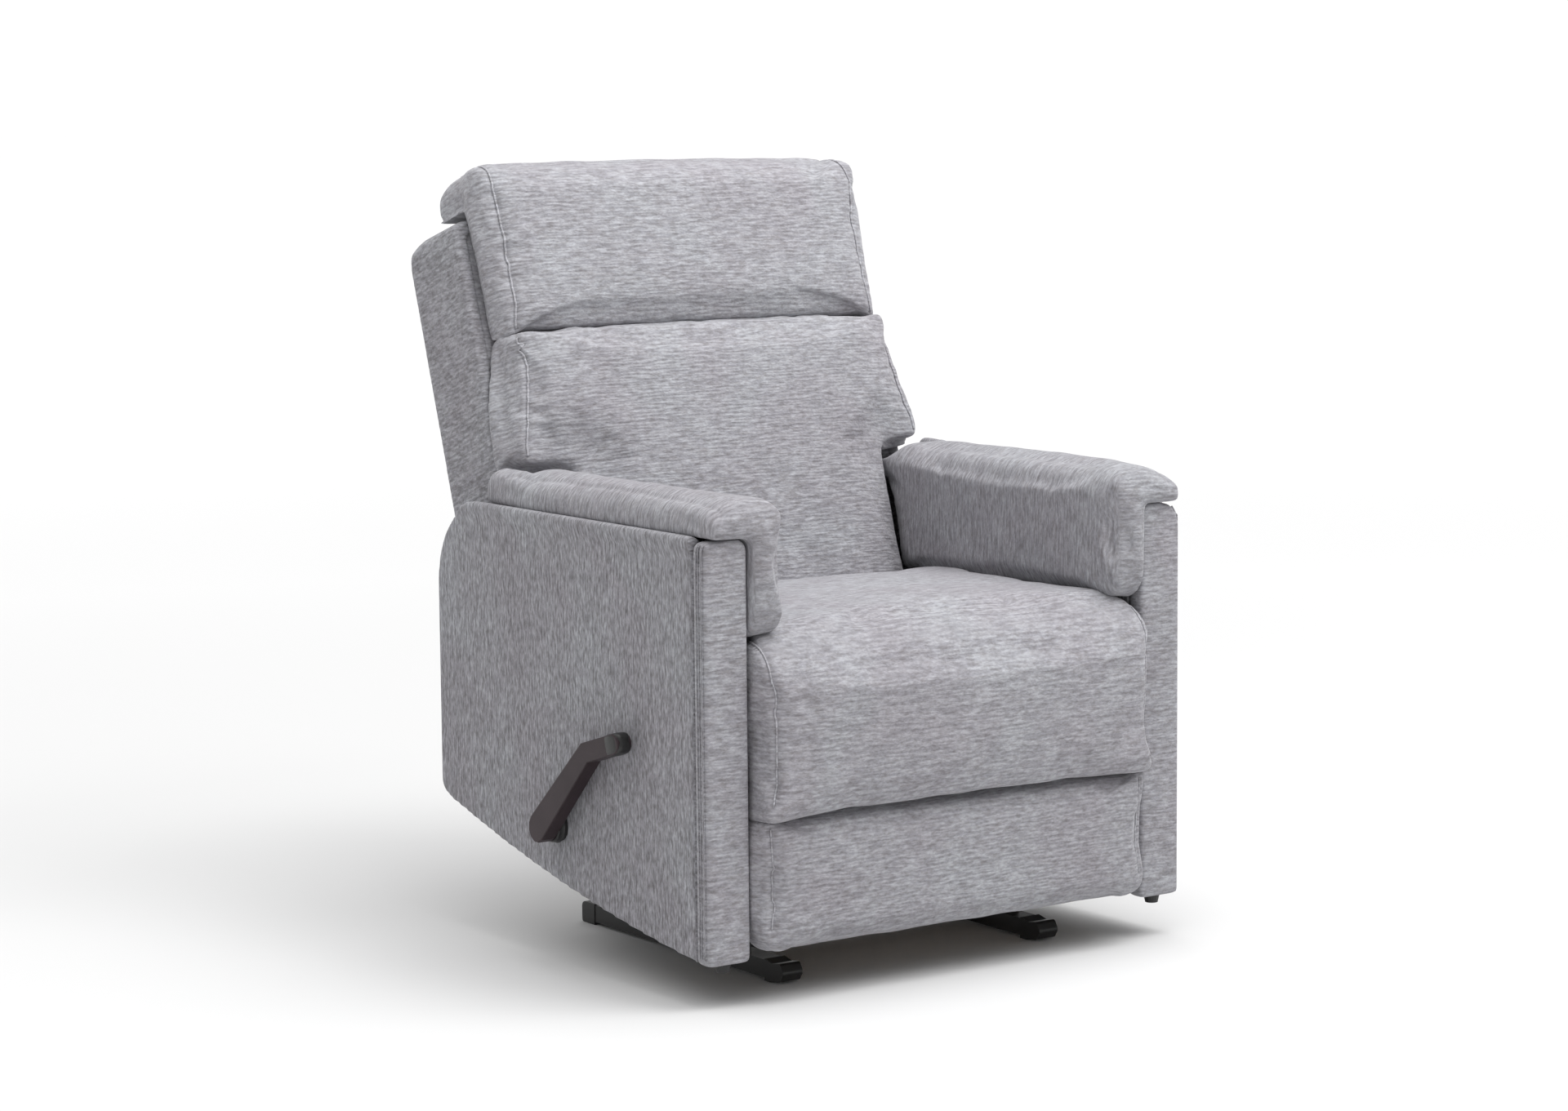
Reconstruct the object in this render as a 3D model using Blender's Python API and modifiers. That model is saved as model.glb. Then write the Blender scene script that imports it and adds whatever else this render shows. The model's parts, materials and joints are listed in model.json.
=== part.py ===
"""Recliner armchair on a glider base, built as separate pieces.

Metres, +Z up. The sitter faces -Y, so the sitter's left is +X. Sizes are given in the chair's own
frame: x from the centre plane, y back from the fronts of the arms, z up from the floor. The
chair_origin empty then moves the whole chair so that the world origin lies on the floor below the
middle of its outer box.
"""

import math

import bmesh
import bpy
from mathutils import Matrix, Vector

GAP = 0.0003  # clearance between pieces that touch

# Overall sizes
HALF_WIDTH = 0.390  # centre plane to the outer face of an arm
ARM_DEPTH = 0.683  # arm front to the rear edge of the side panel
ARM_TOP = 0.604  # floor to the top of the arm panels, below the pads
ARM_FLOOR_GAP = 0.057  # floor to the front lower edge of an arm
BACK_HEIGHT = 0.800  # recline axis to the top of the headrest, along the back
BACK_TILT = math.radians(18)  # lean of the back at rest

# Joint axes, as y and z in the chair's frame
RECLINE_AXIS = (0.505, 0.285)
LEVER_AXIS = (0.361, 0.189)
TORQUE_AXIS = (0.210, 0.215)
ELBOW_AXIS = (0.328, 0.194)
KNEE_AXIS = (0.078, 0.128)
FOOTREST_AXIS = (0.062, 0.225)
TUBE_FRONT = (0.160, 0.243)
TUBE_REAR = (0.452, 0.243)

# Back, along and square to its own lean, from the recline axis
CUSHION_FRONT_D = -0.118
HEADREST_FRONT_D = -0.085
CUSHION_REAR_D = -0.034
HEADREST_SPLIT = 0.5515
HEADREST_ROLL_D = 0.057
HEADREST_ROLL_H = 0.060


def back_height_of(z, d):
    """How far up the leaning back a height above the floor is, at a distance square to the back."""
    return (z - RECLINE_AXIS[1] + d * math.sin(BACK_TILT)) / math.cos(BACK_TILT)


def back_plane_y(z, d):
    """How far back a plane square to the back's depth is, at a height above the floor."""
    return RECLINE_AXIS[0] + back_height_of(z, d) * math.sin(BACK_TILT) + d * math.cos(BACK_TILT)


# Arms
PANEL_T = 0.018
POST_T = 0.030
POST_WIDTH = 0.067
ARM_INNER = HALF_WIDTH - POST_WIDTH  # centre plane to the inner face of an arm
BOARD_T = 0.012
BOARD_REAR = 0.490
BOARD_BOTTOM = 0.110
PAD_T = 0.053
PAD_TOP = ARM_TOP + PAD_T
PAD_FRONT = -0.012
PAD_BACK_GAP = 0.0079  # from the rear of the pad to the back
PAD_REAR = back_plane_y(ARM_TOP, CUSHION_REAR_D) - PAD_BACK_GAP
PAD_DROP_T = 0.050
PAD_INNER = ARM_INNER - GAP - PAD_DROP_T  # inner face of the pad's drop
GLIDE_R = 0.011
GLIDE_H = 0.010

# Seat
SEAT_CLEARANCE = 0.007  # each side, between the cushion and the arm
SEAT_HALF = ARM_INNER - SEAT_CLEARANCE
SEAT_FRONT = -0.034
SEAT_TOP = 0.476
PAD_DROP_BOTTOM = SEAT_TOP + 0.001
RAIL_TOP = 0.335
SEAT_BOTTOM = RAIL_TOP + 0.010
SEAT_APRON_BOTTOM = 0.243
SEAT_BACK_GAP = 0.006  # between the seat cushion and the back cushion
RAIL_FRONT = 0.034
RAIL_T = 0.020
REAR_RAIL_Y = 0.450
FRONT_RAIL_BOTTOM = 0.250
REAR_RAIL_BOTTOM = 0.270
SPRING_R = 0.0018
SPRING_SWING = 0.022
SPRING_PITCH = 0.030
SPRING_COUNT = 4
SPRING_SPACING = 0.130

# Back shell, frame and cushions
SHELL_T = 0.008
SHELL_CLEARANCE = 0.002  # each side, between the shell and the arm's inner board
SHELL_HALF = ARM_INNER + BOARD_T + SHELL_CLEARANCE + SHELL_T
SHELL_TOP = BACK_HEIGHT - HEADREST_ROLL_H - 0.005
SHELL_REAR_D = 0.110
SHELL_BOTTOM = 0.012
STRIP_CLEARANCE = 0.0106  # from the top of the arm to the side strips
SHELL_STRIP_BOTTOM = back_height_of(ARM_TOP, CUSHION_REAR_D) + STRIP_CLEARANCE
LUMBAR_BOTTOM = 0.090
LUMBAR_HALF_LOW = PAD_INNER - 0.0047
LUMBAR_HALF_FLARE = SHELL_HALF + 0.005
WING_CLEARANCE = 0.009  # above the arm pads
LUMBAR_WING = back_height_of(PAD_TOP + WING_CLEARANCE, CUSHION_FRONT_D)
LUMBAR_SHOULDER = LUMBAR_WING + (HEADREST_SPLIT - LUMBAR_WING) * 0.57  # where the flare turns in
FRAME_T = 0.028
FRAME_TOP = SHELL_TOP - 0.035
STILE_W = 0.041
FRAME_SETBACK = 0.009  # from the rear of the cushions to the frame
FRAME_MIDDLE_D = CUSHION_REAR_D + FRAME_SETBACK + FRAME_T / 2
FRAME_RAILS = (0.030, 0.090, 0.380, 0.430, FRAME_TOP - 0.050, FRAME_TOP)
BACK_BRACKET_TOP = 0.300

# Mechanism
PLATE_T = 0.003
PLATE_STEP = 0.006  # from one linkage plate's plane to the next
PLATE_OUTER = ARM_INNER - GAP
LINK_R = 0.011
PIN_R = 0.005
PIN_CLEARANCE = 0.0003
TORQUE_R = 0.009
TUBE_R = 0.010
TUBE_WALL = 0.002

# Glider base
RAIL_X = 0.214
RAIL_W = 0.030
RAIL_LOW = 0.004
RAIL_HIGH = 0.028
RAIL_START = 0.110
RAIL_END = 0.535
BRACKET_X = 0.225
SWING_X = 0.2325
HANGER_X = 0.240
SWING_T = 0.004
SWING_TOP_Z = 0.175
SWING_LENGTH = 0.105
SWING_FRONT_Y = 0.200
SWING_REAR_Y = 0.470
SHAFT_R = 0.006
CAP_WIDER = 0.002  # a cap's extra width and height over its rail
TOE_REACH = 0.044
HEEL_REACH = 0.033
BASE_TUBE_OFFSET = 0.050  # from a swing shaft in to its base tube
BRACKET_REACH = 0.050  # beyond each swing shaft
BRACKET_STRIP_TOP = 0.050
HORN_HALF = 0.018
HORN_RISE = 0.016
SWING_R = 0.014
HANGER_HALF = 0.016
HANGER_REACH = 0.018

# Footrest, folded under the front of the seat
FOOT_HALF = ARM_INNER - 0.006
FOOT_FRONT = -0.022
FOOT_BACK = 0.0317
FOOT_LOW = 0.066
FOOT_HIGH = SEAT_APRON_BOTTOM - 0.0035
FOOT_BOARD_T = 0.012
FOOT_BOARD_HALF = PLATE_OUTER - PLATE_T - 4 * PLATE_STEP - GAP

# Lever, on the sitter's right
LEVER_REACH = 0.037
LEVER_FACE = HALF_WIDTH + LEVER_REACH  # centre plane to the outer face of the grip
LEVER_T = 0.022
LEVER_HUB_R = 0.020
LEVER_GRIP_R = 0.0135
LEVER_ELBOW = (-0.125, 0.119)  # from the lever's axis, y and z
LEVER_TIP = (-0.196, 0.140)
LEVER_SHAFT_R = 0.006
BEZEL_T = 0.004

SIDES = {"left": 1, "right": -1}
ROUND_SIDES = 24
SIDE_VIEW = (math.pi / 2, 0, math.pi / 2)  # a flat outline's u runs along +Y, its v along +Z
FRONT_VIEW = (math.pi / 2, 0, 0)  # u along +X, v along +Z

# Name, base colour, roughness and metallic value of each finish
FINISHES = {
    "chenille": ((0.36, 0.34, 0.35), 0.90, 0.0),
    "black_steel": ((0.02, 0.02, 0.022), 0.45, 0.8),
    "zinc_steel": ((0.45, 0.45, 0.44), 0.35, 1.0),
    "spring_steel": ((0.22, 0.22, 0.23), 0.40, 1.0),
    "black_plastic": ((0.012, 0.012, 0.013), 0.50, 0.0),
    "lever_plastic": ((0.045, 0.037, 0.032), 0.38, 0.0),
    "plywood": ((0.55, 0.38, 0.22), 0.70, 0.0),
}

BACK_REACH = (
    RECLINE_AXIS[0] + SHELL_TOP * math.sin(BACK_TILT) + SHELL_REAR_D * math.cos(BACK_TILT)
)
ORIGIN_SHIFT = ((LEVER_FACE - HALF_WIDTH) / 2, -(BACK_REACH + SEAT_FRONT) / 2, 0)


def clear_scene():
    for thing in list(bpy.data.objects):
        bpy.data.objects.remove(thing, do_unlink=True)


def new_collection(name):
    collection = bpy.data.collections.new(name)
    bpy.context.scene.collection.children.link(collection)
    return collection


def new_material(name, finish):
    colour, roughness, metallic = FINISHES[finish]
    material = bpy.data.materials.new(name)
    material.use_nodes = True
    shader = material.node_tree.nodes["Principled BSDF"]
    shader.inputs["Base Color"].default_value = (*colour, 1)
    shader.inputs["Roughness"].default_value = roughness
    shader.inputs["Metallic"].default_value = metallic
    return material


clear_scene()
CHAIR = new_collection("recliner_armchair")
CUTTERS = new_collection("cutters")
EMPTIES = {}
PLACES = {}


def add_empty(name, place, parent=None, rotation=(0, 0, 0)):
    """An empty on a joint's axis. Place is in the chair's frame."""
    empty = bpy.data.objects.new(name, None)
    empty.empty_display_size = 0.03
    CHAIR.objects.link(empty)
    here = Vector(place)
    if parent:
        empty.parent = EMPTIES[parent]
        empty.location = here - PLACES[parent]
    empty.rotation_euler = rotation
    EMPTIES[name] = empty
    PLACES[name] = here


def add_joints():
    add_empty("chair_origin", (0, 0, 0))
    EMPTIES["chair_origin"].location = ORIGIN_SHIFT
    add_empty("front_swing", (0, SWING_FRONT_Y, SWING_TOP_Z), "chair_origin")
    add_empty("rear_swing", (0, SWING_REAR_Y, SWING_TOP_Z), "chair_origin")
    add_empty("carriage", (0, SWING_FRONT_Y, SWING_TOP_Z - SWING_LENGTH), "front_swing")
    add_empty("recline", (0, *RECLINE_AXIS), "carriage")
    add_empty("back_lean", (0, *RECLINE_AXIS), "recline", (-BACK_TILT, 0, 0))
    PLACES["back_lean"] = Vector((0, 0, 0))  # pieces of the back are placed from the recline axis
    add_empty("torque", (0, *TORQUE_AXIS), "carriage")
    add_empty("elbow", (0, *ELBOW_AXIS), "torque")
    add_empty("knee", (0, *KNEE_AXIS), "elbow")
    add_empty("footrest", (0, *FOOTREST_AXIS), "knee")
    add_empty("lever", (0, *LEVER_AXIS), "carriage")


def place(piece, name, finish, parent, where=(0, 0, 0), rotation=None):
    """Names a piece, gives it its material, and hangs it on a joint's empty, in the chair's frame."""
    piece.name = name
    piece.data.name = name
    piece.data.materials.append(new_material(name, finish))
    piece.parent = EMPTIES[parent]
    piece.location = Vector(where) - PLACES[parent]
    if rotation:
        piece.rotation_euler = rotation
    return piece


def mesh_object(shape, collection=None):
    mesh = bpy.data.meshes.new("shape")
    shape.to_mesh(mesh)
    shape.free()
    piece = bpy.data.objects.new("shape", mesh)
    (collection or CHAIR).objects.link(piece)
    return piece


def box(low, high, collection=None):
    """A block between two corners."""
    shape = bmesh.new()
    bmesh.ops.create_cube(shape, size=1)
    size = Vector(high) - Vector(low)
    middle = (Vector(high) + Vector(low)) / 2
    bmesh.ops.scale(shape, vec=size, verts=shape.verts)
    bmesh.ops.translate(shape, vec=middle, verts=shape.verts)
    return mesh_object(shape, collection)


def rod(radius, start, end, sides=ROUND_SIDES, collection=None, tip_radius=None):
    """A round bar, or a cone where tip_radius is given, from one point to another."""
    start, end = Vector(start), Vector(end)
    along = end - start
    shape = bmesh.new()
    bmesh.ops.create_cone(
        shape,
        cap_ends=True,
        segments=sides,
        radius1=radius,
        radius2=radius if tip_radius is None else tip_radius,
        depth=along.length,
    )
    turn = along.to_track_quat("Z", "Y").to_matrix().to_4x4()
    shape.transform(Matrix.Translation((start + end) / 2) @ turn)
    piece = mesh_object(shape, collection)
    shade_round(piece)
    return piece


def shade_round(piece):
    piece.data.shade_smooth()
    piece.data.set_sharp_from_angle(angle=math.radians(35))


def circle(centre, radius, sides=ROUND_SIDES):
    turns = [2 * math.pi * side / sides for side in range(sides)]
    return [(centre[0] + radius * math.cos(a), centre[1] + radius * math.sin(a)) for a in turns]


def rounded(corners, steps=5):
    """An outline whose corners, each (u, v, radius), are turned into arcs."""
    outline = []
    for index, (u, v, radius) in enumerate(corners):
        corner = Vector((u, v))
        before = (Vector(corners[index - 1][:2]) - corner).normalized()
        after = (Vector(corners[(index + 1) % len(corners)][:2]) - corner).normalized()
        if radius == 0:
            outline.append((u, v))
            continue
        half = before.angle(after) / 2
        centre = corner + (before + after).normalized() * radius / math.sin(half)
        arm = corner + before * radius / math.tan(half) - centre
        side = 1 if before.x * after.y - before.y * after.x < 0 else -1
        turn = side * (math.pi - 2 * half)
        for step in range(steps + 1):
            spoke = Matrix.Rotation(turn * step / steps, 2) @ arm
            outline.append(tuple(centre + spoke))
    return outline


def bar_outline(points, radii, steps=6):
    """The outline of a bar with round ends whose centre line runs through the points."""
    outline = []
    for path, sizes in ((points, radii), (points[::-1], radii[::-1])):
        last = len(path) - 1
        for index in range(1, last + 1):
            ahead = Vector(path[min(index + 1, last)]) - Vector(path[index - 1])
            start = math.atan2(ahead.y, ahead.x) - math.pi / 2
            turns = steps if index == last else 0
            for step in range(turns + 1):
                angle = start + math.pi * step / max(turns, 1)
                outline.append(
                    (
                        path[index][0] + sizes[index] * math.cos(angle),
                        path[index][1] + sizes[index] * math.sin(angle),
                    )
                )
    return outline


def flat_piece(outline, thickness, holes=()):
    """A flat plate from an outline and its holes, as a filled 2D curve."""
    curve = bpy.data.curves.new("plate", "CURVE")
    curve.dimensions = "2D"
    curve.fill_mode = "BOTH"
    curve.extrude = thickness / 2
    for loop in (outline, *holes):
        spline = curve.splines.new("POLY")
        spline.points.add(len(loop) - 1)
        spline.use_cyclic_u = True
        for point, (u, v) in zip(spline.points, loop):
            point.co = (u, v, 0, 1)
    piece = bpy.data.objects.new("plate", curve)
    CHAIR.objects.link(piece)
    weld(piece)
    return piece


def weld(piece):
    modifier = piece.modifiers.new("Weld", "WELD")
    modifier.merge_threshold = 0.00005


def soften(piece, width, segments=2):
    """Rounds the piece's sharp edges."""
    bevel = piece.modifiers.new("Bevel", "BEVEL")
    bevel.width = width
    bevel.segments = segments
    bevel.limit_method = "ANGLE"
    bevel.angle_limit = math.radians(40)
    return piece


def to_mesh(piece):
    """Turns a curve piece into a mesh piece, with its caps welded."""
    bpy.context.view_layer.update()
    graph = bpy.context.evaluated_depsgraph_get()
    mesh = bpy.data.meshes.new_from_object(piece.evaluated_get(graph))
    shape = bmesh.new()
    shape.from_mesh(mesh)
    bmesh.ops.remove_doubles(shape, verts=shape.verts, dist=0.00005)
    shape.to_mesh(mesh)
    shape.free()
    solid = bpy.data.objects.new(piece.name, mesh)
    solid.matrix_world = piece.matrix_world
    CHAIR.objects.link(solid)
    bpy.data.objects.remove(piece, do_unlink=True)
    return solid


def combine(piece, tool, operation):
    """Joins a tool to a mesh piece, or cuts the piece with it. The tool keeps its place on the piece."""
    tool.parent = piece
    tool.hide_render = True
    tool.display_type = "WIRE"
    for collection in list(tool.users_collection):
        collection.objects.unlink(tool)
    CUTTERS.objects.link(tool)
    modifier = piece.modifiers.new(operation.title(), "BOOLEAN")
    modifier.operation = operation
    modifier.solver = "EXACT"
    modifier.object = tool
    return piece


def side_plate(outline, x_middle, thickness, holes=()):
    """A plate seen from the side, whose outline points are y and z in the chair's frame."""
    plate = flat_piece(outline, thickness, holes)
    plate.rotation_euler = SIDE_VIEW
    plate.location = (x_middle, 0, 0)
    return plate


def place_plate(plate, name, finish, parent):
    """Hangs a side plate on a joint's empty where it stands in the chair's frame."""
    return place(plate, name, finish, parent, tuple(plate.location))


def pipe(radius, wall, y, z, x_low, x_high):
    """An open tube across the chair."""
    tube = side_plate(
        circle((y, z), radius),
        (x_low + x_high) / 2,
        x_high - x_low,
        [circle((y, z), radius - wall)],
    )
    return tube


# ---------------------------------------------------------------- glider base


def floor_rail(side_name, side):
    x = side * RAIL_X
    outline = [
        (RAIL_START, RAIL_LOW),
        (RAIL_END, RAIL_LOW),
        (RAIL_END, RAIL_HIGH),
        (RAIL_START, RAIL_HIGH),
    ]
    rail = side_plate(outline, x, RAIL_W)
    place_plate(rail, f"floor_rail_{side_name}", "black_steel", "chair_origin")


def rail_caps(side_name, side):
    """Plastic end caps. The front one turns up like the toe of a ski, and both stand on the floor."""
    x = side * RAIL_X
    toe_start = RAIL_START - GAP
    toe = [
        (toe_start, 0, 0),
        (toe_start, RAIL_HIGH + CAP_WIDER, 0.001),
        (toe_start - 0.018, RAIL_HIGH - 0.002, 0.003),
        (toe_start - 0.036, RAIL_HIGH + 0.001, 0.006),
        (toe_start - TOE_REACH, 0.016, 0.006),
        (toe_start - 0.036, RAIL_LOW, 0.006),
        (toe_start - 0.012, 0, 0.004),
    ]
    cap = side_plate(rounded(toe), x, RAIL_W + CAP_WIDER)
    place_plate(cap, f"rail_toe_{side_name}", "black_plastic", "chair_origin")
    heel_start = RAIL_END + GAP
    heel = [
        (heel_start, 0, 0),
        (heel_start + HEEL_REACH, 0, 0.004),
        (heel_start + HEEL_REACH, RAIL_HIGH + CAP_WIDER, 0.008),
        (heel_start, RAIL_HIGH + CAP_WIDER, 0),
    ]
    cap = side_plate(rounded(heel), x, RAIL_W + CAP_WIDER)
    place_plate(cap, f"rail_heel_{side_name}", "black_plastic", "chair_origin")


def base_tubes():
    """Tubes that tie the two floor rails together, just inside the swing brackets."""
    reach = RAIL_X - RAIL_W / 2 - GAP
    middle_z = (RAIL_LOW + RAIL_HIGH) / 2
    for end_name, y in (
        ("front", SWING_FRONT_Y + BASE_TUBE_OFFSET),
        ("rear", SWING_REAR_Y - BASE_TUBE_OFFSET),
    ):
        tube = pipe(TUBE_R, TUBE_WALL, y, middle_z, -reach, reach)
        place_plate(tube, f"base_tube_{end_name}", "black_steel", "chair_origin")


def swing_bracket(side_name, side):
    """A steel bracket on a floor rail with two horns, which carry the swing shafts."""
    foot = RAIL_HIGH + GAP
    strip_top = BRACKET_STRIP_TOP
    horn_top = SWING_TOP_Z + HORN_RISE
    corners = [(SWING_FRONT_Y - BRACKET_REACH, foot, 0), (SWING_REAR_Y + BRACKET_REACH, foot, 0)]
    corners += [(SWING_REAR_Y + BRACKET_REACH, strip_top, 0.006)]
    corners += [(SWING_REAR_Y + HORN_HALF, horn_top, 0.012), (SWING_REAR_Y - HORN_HALF, horn_top, 0.012)]
    corners += [(SWING_REAR_Y - 0.045, strip_top, 0.010), (SWING_FRONT_Y + 0.045, strip_top, 0.010)]
    corners += [(SWING_FRONT_Y + HORN_HALF, horn_top, 0.012), (SWING_FRONT_Y - HORN_HALF, horn_top, 0.012)]
    corners += [(SWING_FRONT_Y - BRACKET_REACH, strip_top, 0.006)]
    holes = [
        circle((y, SWING_TOP_Z), SHAFT_R + PIN_CLEARANCE) for y in (SWING_FRONT_Y, SWING_REAR_Y)
    ]
    plate = side_plate(rounded(corners), side * BRACKET_X, PLATE_T, holes)
    place_plate(plate, f"swing_bracket_{side_name}", "black_steel", "chair_origin")


def swing_shafts():
    """Fixed shafts across the base, on which the swing links hang."""
    reach = SWING_X + SWING_T / 2 + 0.002
    for end_name, y in (("front", SWING_FRONT_Y), ("rear", SWING_REAR_Y)):
        shaft = rod(SHAFT_R, (-reach, y, SWING_TOP_Z), (reach, y, SWING_TOP_Z))
        place(shaft, f"swing_shaft_{end_name}", "zinc_steel", "chair_origin")


def swing_link(end_name, y, parent, side_name, side):
    """A hanging link with its lower pin, which turns in the carriage's hanger plate."""
    low = (y, SWING_TOP_Z - SWING_LENGTH)
    high = (y, SWING_TOP_Z)
    outline = bar_outline([low, high], [SWING_R, SWING_R])
    plate = side_plate(outline, side * SWING_X, SWING_T, [circle(high, SHAFT_R + PIN_CLEARANCE)])
    link = to_mesh(plate)
    link.matrix_world = Matrix.Identity(4)
    link.rotation_euler = SIDE_VIEW
    pin_end = HANGER_X + PLATE_T / 2 + 0.003 - SWING_X
    pin = rod(SHAFT_R, (*low, 0), (*low, side * pin_end), sides=16)
    combine(link, pin, "UNION")
    place(link, f"swing_link_{end_name}_{side_name}", "zinc_steel", parent, (side * SWING_X, 0, 0))


def glider_base():
    for side_name, side in SIDES.items():
        floor_rail(side_name, side)
        rail_caps(side_name, side)
        swing_bracket(side_name, side)
        swing_link("front", SWING_FRONT_Y, "front_swing", side_name, side)
        swing_link("rear", SWING_REAR_Y, "rear_swing", side_name, side)
    base_tubes()
    swing_shafts()


# ---------------------------------------------------------------- carriage: frame and mechanism


def hanger_plate(side_name, side):
    """The carriage's steel hanger: a top strip with two legs, which hang on the swing links' pins."""
    pin_z = SWING_TOP_Z - SWING_LENGTH
    foot = pin_z - SWING_R
    top = TUBE_FRONT[1] + HANGER_REACH
    strip = TUBE_FRONT[1] - 0.017
    corners = [(SWING_FRONT_Y - HANGER_HALF, foot, 0.008), (SWING_FRONT_Y + HANGER_HALF, foot, 0.008)]
    corners += [(SWING_FRONT_Y + 0.034, strip, 0.010), (SWING_REAR_Y - 0.020, strip, 0.010)]
    corners += [(SWING_REAR_Y - HANGER_HALF, foot, 0.008), (SWING_REAR_Y + HANGER_HALF, foot, 0.008)]
    corners += [(SWING_REAR_Y + 0.020, top, 0.008), (TUBE_FRONT[0] - HANGER_REACH, top, 0.008)]
    corners += [(TUBE_FRONT[0] - HANGER_REACH, strip - 0.010, 0.006)]
    holes = [
        circle((SWING_FRONT_Y, pin_z), SHAFT_R + PIN_CLEARANCE),
        circle((SWING_REAR_Y, pin_z), SHAFT_R + PIN_CLEARANCE),
        circle(TUBE_FRONT, TUBE_R + GAP),
        circle(TUBE_REAR, TUBE_R + GAP),
        circle(TORQUE_AXIS, TORQUE_R + PIN_CLEARANCE),
    ]
    plate = side_plate(rounded(corners), side * HANGER_X, PLATE_T, holes)
    place_plate(plate, f"hanger_plate_{side_name}", "black_steel", "carriage")


def mechanism_plate(side_name, side):
    """The side plate of the mechanism, which carries the recline pivot and the footrest linkage."""
    corners = [
        (RAIL_FRONT, 0.252, 0.004),
        (TORQUE_AXIS[0] - 0.060, 0.190, 0.015),
        (LEVER_AXIS[0] + 0.010, LEVER_AXIS[1] - 0.024, 0.020),
        (RECLINE_AXIS[0] - 0.020, 0.222, 0.015),
        (RECLINE_AXIS[0] + 0.024, RECLINE_AXIS[1] - 0.020, 0.015),
        (RECLINE_AXIS[0] + 0.024, RECLINE_AXIS[1] + 0.020, 0.015),
        (REAR_RAIL_Y, RAIL_TOP, 0.010),
        (RAIL_FRONT, RAIL_TOP, 0.004),
    ]
    holes = [
        circle(TORQUE_AXIS, TORQUE_R + PIN_CLEARANCE),
        circle(LEVER_AXIS, LEVER_SHAFT_R + PIN_CLEARANCE),
        circle(RECLINE_AXIS, SHAFT_R + PIN_CLEARANCE),
    ]
    plate = side_plate(rounded(corners), side * (PLATE_OUTER - PLATE_T / 2), PLATE_T, holes)
    place_plate(plate, f"mechanism_plate_{side_name}", "black_steel", "carriage")


def seat_tubes():
    """Tubes through the hanger plates, from one mechanism plate to the other."""
    reach = PLATE_OUTER - PLATE_T - GAP
    for end_name, (y, z) in (("front", TUBE_FRONT), ("rear", TUBE_REAR)):
        tube = pipe(TUBE_R, TUBE_WALL, y, z, -reach, reach)
        place_plate(tube, f"seat_tube_{end_name}", "black_steel", "carriage")


def seat_rails():
    """Wooden rails across the seat box, which hold the springs."""
    reach = PLATE_OUTER - PLATE_T - GAP
    for end_name, y, low in (
        ("front", RAIL_FRONT, FRONT_RAIL_BOTTOM),
        ("rear", REAR_RAIL_Y, REAR_RAIL_BOTTOM),
    ):
        rail = box((-reach, y, low), (reach, y + RAIL_T, RAIL_TOP))
        place(rail, f"seat_{end_name}_rail", "plywood", "carriage")


def seat_spring(number):
    """A sinuous spring from the front rail to the rear rail."""
    x = (number - (SPRING_COUNT - 1) / 2) * SPRING_SPACING
    start = RAIL_FRONT + RAIL_T / 2
    length = REAR_RAIL_Y + RAIL_T / 2 - start
    turns = round(length / SPRING_PITCH)
    steps = turns * 3
    curve = bpy.data.curves.new("spring", "CURVE")
    curve.dimensions = "3D"
    curve.bevel_depth = SPRING_R
    curve.bevel_resolution = 1
    curve.use_fill_caps = True
    spline = curve.splines.new("POLY")
    spline.points.add(steps)
    for step, point in enumerate(spline.points):
        share = step / steps
        bend = SPRING_SWING * math.sin(math.pi * turns * share)
        point.co = (bend, start + length * share, 0, 1)
    spring = bpy.data.objects.new("spring", curve)
    CHAIR.objects.link(spring)
    weld(spring)
    where = (x, 0, RAIL_TOP + SPRING_R + 2 * GAP)
    place(spring, f"seat_spring_{number + 1}", "spring_steel", "carriage", where)


def seat_cushion():
    """Seat block with the apron that drops over the front rail; its rear end follows the lean of the back."""
    rear_low = back_plane_y(SEAT_BOTTOM, CUSHION_FRONT_D) - SEAT_BACK_GAP
    rear_high = back_plane_y(SEAT_TOP, CUSHION_FRONT_D) - SEAT_BACK_GAP
    corners = [
        (SEAT_FRONT, SEAT_APRON_BOTTOM, 0.012),
        (RAIL_FRONT - 0.0025, SEAT_APRON_BOTTOM, 0.004),
        (RAIL_FRONT - 0.0025, SEAT_BOTTOM, 0),
        (rear_low, SEAT_BOTTOM, 0.010),
        (rear_high, SEAT_TOP, 0.012),
        (SEAT_FRONT, SEAT_TOP, 0.050),
    ]
    cushion = side_plate(rounded(corners), 0, SEAT_HALF * 2)
    soften(cushion, 0.010)
    place_plate(cushion, "seat_cushion", "chenille", "carriage")


def carriage_frame():
    for side_name, side in SIDES.items():
        hanger_plate(side_name, side)
        mechanism_plate(side_name, side)
    seat_tubes()
    seat_rails()
    for number in range(SPRING_COUNT):
        seat_spring(number)
    seat_cushion()


# ---------------------------------------------------------------- arms


def arm_bottom(y):
    """Height of the arm's lower edge, which sweeps up towards the rear."""
    return ARM_FLOOR_GAP + 0.0866 * y + 0.1567 * y * y


def side_panel(side_name, side):
    front = POST_T + GAP
    steps = 8
    reach = ARM_DEPTH - 0.030
    lower = [front + (reach - front) * step / steps for step in range(steps + 1)]
    corners = [(y, arm_bottom(y), 0) for y in lower]
    corners += [
        (ARM_DEPTH, arm_bottom(ARM_DEPTH) + 0.004, 0.020),
        (ARM_DEPTH, ARM_TOP, 0.115),
        (front, ARM_TOP, 0),
    ]
    hole = [circle(LEVER_AXIS, LEVER_SHAFT_R + PIN_CLEARANCE)] if side < 0 else []
    panel = side_plate(rounded(corners, 8), side * (HALF_WIDTH - PANEL_T / 2), PANEL_T, hole)
    place_plate(panel, f"arm_side_panel_{side_name}", "chenille", "carriage")


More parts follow.
